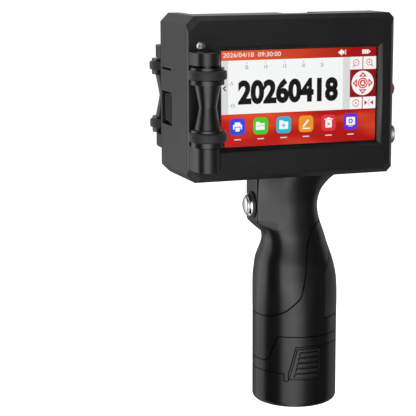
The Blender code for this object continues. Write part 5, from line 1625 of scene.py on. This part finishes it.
@dataclass
class BatteryPack:
    """The slide-out battery with its stem, cells and two release buttons."""

    gap: float = 0.0005
    base_edge: float = 0.0030
    stem: float = 0.0219
    stem_top: float = 0.0700
    cell_bore: float = 0.0202
    floor: float = 0.0030
    pocket: float = 0.0216
    seam_x: float = 0.0093
    seam: float = 0.0004
    button_reach: Flat = (0.010, 0.032)
    tray_depth: float = 0.0016

    def __post_init__(self) -> None:
        """Finds the radius of the case and the underside of the head."""
        low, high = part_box("battery_case")
        self.radius = (high.x - low.x) / 2
        self.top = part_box("main_housing")[0].z

    def outline(self, grow: float) -> Outline:
        """The slanted outline of a release button or, grown, of its pocket."""
        low, high = self.top - 0.1198 - grow, self.top - 0.1020 + grow
        return [(-0.0119 - grow, low), (0.0064 + grow, low), (0.0064 + grow, high), (-0.0076 - grow, high)]

    def build(self) -> None:
        """Builds the case and its buttons and dresses the cells."""
        round_base = [(self.radius - self.base_edge * (1 - math.sin(math.radians(a))),
                       self.base_edge * (1 - math.cos(math.radians(a)))) for a in range(0, 91, 10)]
        brim = self.top - 0.0980
        case = turned("battery_moulding", [(0.0, 0.0)] + round_base + [(self.radius, brim), (0.0, brim)],
                      (0.0, 0.0, 0.0), steps=160)
        grip = Grip()
        line = [(x + (self.gap if -0.0140 < x < 0 else -self.gap if -0.05 < x < 0 else 0.0), z - self.gap)
                for x, z in grip.battery_line]
        case = carve(case, Cut.SHARED, grip.region(line, soft=0.0004))
        profile = [(0.0, self.base_edge), (self.stem, self.base_edge), (self.stem, self.stem_top - 0.0006),
                   (self.stem - 0.0006, self.stem_top), (0.0, self.stem_top)]
        case = carve(case, Cut.ADDED, turned("stem", profile, (0.0, 0.0, 0.0), steps=128))
        above = self.stem_top + 0.001
        profile = [(0.0, self.floor), (self.cell_bore, self.floor), (self.cell_bore, above), (0.0, above)]
        bore = turned("bore", profile, (0.0, 0.0, 0.0))
        case = carve(case, Cut.AWAY, bore, *self.seams())
        for side, sign, body in ((Side.FRONT, -1, Body.RELEASE_FRONT), (Side.REAR, 1, Body.RELEASE_REAR)):
            pocket = self.button_block(sign, self.gap, self.pocket, self.radius + 0.005)
            case = carve(case, Cut.AWAY, pocket)
            self.button(side, sign, body)
        dress(case, Body.BATTERY, "grip", [GRIP], "battery_case")
        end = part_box("battery_cell_1")[1].z
        wrap = PrintedFilm("cell_wrap", (0.02, 0.10, 0.32), (0.6, 0.6, 0.6), end - 0.004, end - 0.002)
        repaint(wrap.material(), "battery_cell_1", "battery_cell_2", "battery_cell_3")

    def seams(self) -> list[bpy.types.Object]:
        """The thin grooves where the two halves of the case meet."""
        left, right = self.seam_x - self.seam / 2, self.seam_x + self.seam / 2
        low, high = -0.001, self.top - 0.090
        groove = [(left, low), (right, low), (right, high), (left, high)]
        inner, outer = self.radius - 0.0030, self.radius + 0.002
        return [extruded("case_seam", groove, Axis.Y, ends) for ends in ((-outer, -inner), (inner, outer))]

    def wrapped(self, outline: Outline, sign: int, inner: float, outer: float) -> bpy.types.Object:
        """The part of an outline's block, on one side of the battery, between two radii."""
        ends = sorted(sign * reach for reach in self.button_reach)
        block = extruded("button_block", outline, Axis.Y, tuple(ends))
        shell = turned("button_shell", [(inner, -0.01), (outer, -0.01), (outer, 0.1), (inner, 0.1)],
                       (0.0, 0.0, 0.0), steps=160, ring=True)
        return carve(block, Cut.SHARED, shell)

    def button_block(self, sign: int, grow: float, inner: float, outer: float) -> bpy.types.Object:
        """A release button's slanted block between two radii."""
        return self.wrapped(softened_loop(self.outline(grow), 0.0008), sign, inner, outer)

    def rib_pocket(self, sign: int, outer: float) -> bpy.types.Object:
        """The shallow tray in a release button that its ribs stand in."""
        low, high = self.outline(0.0)[0][1] + 0.0008, self.outline(0.0)[2][1] - 0.0012
        tray = [(-0.0098, low), (0.0053, low), (0.0053, high), (-0.0064, high)]
        return self.wrapped(tray, sign, outer - self.tray_depth, outer + 0.004)

    def button(self, side: Side, sign: int, body: Body) -> None:
        """Builds a release button with its ribs."""
        node = f"release_button_{side.value}"
        outer = self.radius + 0.0002
        plate = self.button_block(sign, 0.0, outer - 0.0022, outer - 0.0002)
        plate = carve(plate, Cut.AWAY, self.rib_pocket(sign, outer))
        plate.name = f"release_plate_{side.value}"
        dress(plate, body, "grip", [BUTTON], node)
        low = self.outline(0.0)[0][1]
        ribs = WrappedRibs().grow(
            f"release_ribs_{side.value}", BUTTON, Count=5, Low=low + 0.0020, Pitch=0.0032, Rib=0.0017,
            Inner=outer - 0.0017, Proud=0.0017, Start_Low=-0.0090, Start_High=-0.0062, End=0.0048, Side=sign)
        dress(ribs, body, "grip", [])


# ---------------------------------------------------------------- studio

@dataclass(frozen=True)
class LightRing:
    """How bright the studio is all round the printer, by the angle from the camera.

    Each row is an angle in degrees, from -180 to 180 and positive to the camera's right,
    and a level. Between rows the level runs straight.
    """

    name: str
    rows: tuple[tuple[float, float], ...]
    camera_azimuth: float

    def group(self) -> bpy.types.NodeTree:
        """Makes the shader group that gives the level of a direction.

        Returns:
            The group. Its inputs are the direction's X and Y and a factor on the angle, and
            its output is the level.
        """
        wiring, given, result = shader_group(self.name, {"X": 0.0, "Y": -1.0, "Widen": 1.0}, ("Level",))
        a = math.radians(self.camera_azimuth)
        x, y = given.outputs["X"], given.outputs["Y"]
        right = wiring.sum("MULTIPLY_ADD", x, math.cos(a), wiring.sum("MULTIPLY", y, math.sin(a)))
        near = wiring.sum("MULTIPLY_ADD", x, math.sin(a), wiring.sum("MULTIPLY", y, -math.cos(a)))
        angle = wiring.sum("MULTIPLY", wiring.sum("ARCTAN2", right, near), given.outputs["Widen"])
        turn = wiring.sum("MULTIPLY_ADD", angle, 1 / TURN, 0.5)
        most = max(level for _, level in self.rows)
        ramp = wiring.place("ShaderNodeValToRGB", {0: turn})
        places = ramp.color_ramp.elements
        while len(places) < len(self.rows):
            places.new(1.0)
        for place, (angle, level) in zip(places, self.rows):
            place.position = angle / 360 + 0.5
            share = level / most
            place.color = (share, share, share, 1.0)
        bright = wiring.place("ShaderNodeSeparateColor", {0: ramp.outputs[0]}).outputs[0]
        wiring.join(result, Level=wiring.sum("MULTIPLY", bright, most))
        return wiring.tree


@dataclass
class Lamp:
    """A soft box: where it stands, what it faces, how large it is and how bright."""

    name: str
    azimuth: float
    elevation: float
    distance: float
    wide: float
    tall: float
    power: float

    def build(self, target: Vector) -> None:
        """Hangs the lamp so that it faces the target."""
        a, e = math.radians(self.azimuth), math.radians(self.elevation)
        back = Vector((math.sin(a) * math.cos(e), -math.cos(a) * math.cos(e), math.sin(e)))
        light = bpy.data.lights.new(self.name, "AREA")
        light.shape = "RECTANGLE"
        light.size, light.size_y = self.wide, self.tall
        light.energy = self.power
        lamp = bpy.data.objects.new(self.name, light)
        lamp.location = target + back * self.distance
        lamp.rotation_mode = "QUATERNION"
        lamp.rotation_quaternion = (-back).to_track_quat("-Z", "Y")
        bpy.context.scene.collection.objects.link(lamp)


@dataclass
class Studio:
    """The pale floor, the soft light and the camera.

    The floor lies below the printer's base, clear of the drawn battery. Its light is dimmer
    near the printer: dim_near holds two distances and the level at each.
    """

    azimuth: float = -19.38
    elevation: float = 10.42
    roll: float = -0.22
    lens: float = 123.9
    camera_place: tuple[float, float, float] = (-0.3239, -0.7662, 0.2679)
    floor_white: float = 0.85
    floor_drop: float = 0.0560
    floor_size: float = 12.0
    dim_near: tuple[float, float, float, float] = (0.34, 0.64, 0.6, 1.0)
    grip_radius: float = 0.025
    floor_rows: tuple[tuple[float, float], ...] = (
        (-180, 0.25), (-150, 0.22), (-138, 0.38), (-124, 1.4), (-94, 1.7), (-86, 0.0), (-40, 0.0), (-30, 2.8),
        (-2, 3.6), (14, 2.3), (30, 0.35), (50, 0.05), (70, 0.1), (98, 0.12), (106, 0.65), (130, 0.5),
        (150, 0.2), (180, 0.25))
    wall_rows: tuple[tuple[float, float], ...] = (
        (-180, 0.65), (-150, 0.5), (-138, 0.4), (-124, 1.4), (-94, 1.6), (-86, 0.0), (-40, 0.0), (-30, 2.4),
        (-2, 2.8), (14, 1.8), (30, 0.3), (50, 0.05), (98, 0.1), (106, 0.6), (130, 0.5), (150, 0.5),
        (180, 0.65))

    def build(self) -> None:
        """Builds the studio."""
        self.floor()
        self.surroundings()
        self.camera()
        top_box = Lamp("top_box", azimuth=170, elevation=70, distance=1.2, wide=0.8, tall=0.6, power=6.0)
        top_box.build(Vector((0.0, 0.0, 0.12)))

    def floor(self) -> None:
        """Lays the floor: white to look at, and lit in patches where the printer mirrors it."""
        bm = bmesh.new()
        bmesh.ops.create_grid(bm, x_segments=8, y_segments=8, size=self.floor_size)
        bmesh.ops.translate(bm, verts=bm.verts, vec=(0.0, 0.0, -self.floor_drop))
        ground = from_bmesh("floor", bm)
        look = bpy.data.materials.new("pale_floor")
        look.use_nodes = True
        wiring = Wiring(look.node_tree)
        shader = look.node_tree.nodes["Principled BSDF"]
        shader.inputs["Roughness"].default_value = 0.8
        shader.inputs["Specular IOR Level"].default_value = 0.0
        shader.inputs["Emission Color"].default_value = (1.0, 1.0, 1.0, 1.0)
        seen = wiring.place("ShaderNodeLightPath").outputs["Is Camera Ray"]
        spot = wiring.here()
        x, y = wiring.part(spot, "X"), wiring.part(spot, "Y")
        far = wiring.sum("SQRT", wiring.sum("MULTIPLY_ADD", x, x, wiring.sum("MULTIPLY", y, y)))
        close = wiring.sum("MINIMUM", wiring.sum("DIVIDE", self.grip_radius, far), 1.0)
        ring = wiring.group(LightRing("floor_ring", self.floor_rows, self.azimuth).group(), X=x, Y=y,
                            Widen=wiring.sum("MULTIPLY_ADD", close, close, 1.0))
        bands = wiring.sum("MULTIPLY", ring.outputs[0], wiring.spread(far, *self.dim_near))
        unseen = wiring.sum("SUBTRACT", 1.0, seen)
        level = wiring.sum("MULTIPLY_ADD", bands, unseen, wiring.sum("MULTIPLY", seen, self.floor_white))
        pale = wiring.sum("MULTIPLY", seen, 0.9)
        tint = wiring.place("ShaderNodeCombineColor", {0: pale, 1: pale, 2: pale})
        wiring.join(shader, Base_Color=tint.outputs[0], Emission_Strength=level)
        ground.data.materials.append(look)

    def surroundings(self) -> None:
        """Sets a white backdrop that lights the printer in soft upright bands."""
        world = bpy.data.worlds.new("studio")
        world.use_nodes = True
        bpy.context.scene.world = world
        wiring = Wiring(world.node_tree)
        shade = world.node_tree.nodes["Background"]
        way = wiring.place("ShaderNodeTexCoord").outputs["Generated"]
        ring = wiring.group(LightRing("wall_ring", self.wall_rows, self.azimuth).group(),
                            X=wiring.part(way, "X"), Y=wiring.part(way, "Y"))
        low = wiring.spread(wiring.part(way, "Z"), 0.2, 0.75, 1.0, 0.25)
        level = wiring.sum("MULTIPLY", ring.outputs[0], low)
        seen = wiring.place("ShaderNodeLightPath").outputs["Is Camera Ray"]
        wiring.join(shade, Strength=wiring.sum("MAXIMUM", level, seen))
        shade.inputs["Color"].default_value = (1.0, 1.0, 1.0, 1.0)

    def camera(self) -> None:
        """Stands the camera at the height and angle of a product shot."""
        data = bpy.data.cameras.new("camera")
        data.lens = self.lens
        data.clip_start, data.clip_end = 0.01, 50.0
        camera = bpy.data.objects.new("camera", data)
        a, e = math.radians(self.azimuth), math.radians(self.elevation)
        back = Vector((math.sin(a) * math.cos(e), -math.cos(a) * math.cos(e), math.sin(e)))
        level = (-back).to_track_quat("-Z", "Y")
        camera.rotation_mode = "QUATERNION"
        tip = Matrix.Rotation(math.radians(self.roll), 3, "Z").to_quaternion()
        camera.rotation_quaternion = level @ tip
        camera.location = self.camera_place
        bpy.context.scene.collection.objects.link(camera)
        bpy.context.scene.camera = camera


def main() -> None:
    """Builds every sub-assembly in order and the studio round them."""
    logging.basicConfig(level=logging.INFO, format="%(name)s: %(message)s", stream=sys.stdout)
    bpy.context.scene.view_settings.view_transform = "Standard"
    for part in (Head(), Display(), GuideRoller(Side.FRONT), GuideRoller(Side.REAR), InkCartridge(),
                 SideFittings(), Grip(), BatteryPack(), Studio()):
        LOG.info("building %s", type(part).__name__)
        part.build()


if __name__ == "__main__":
    main()
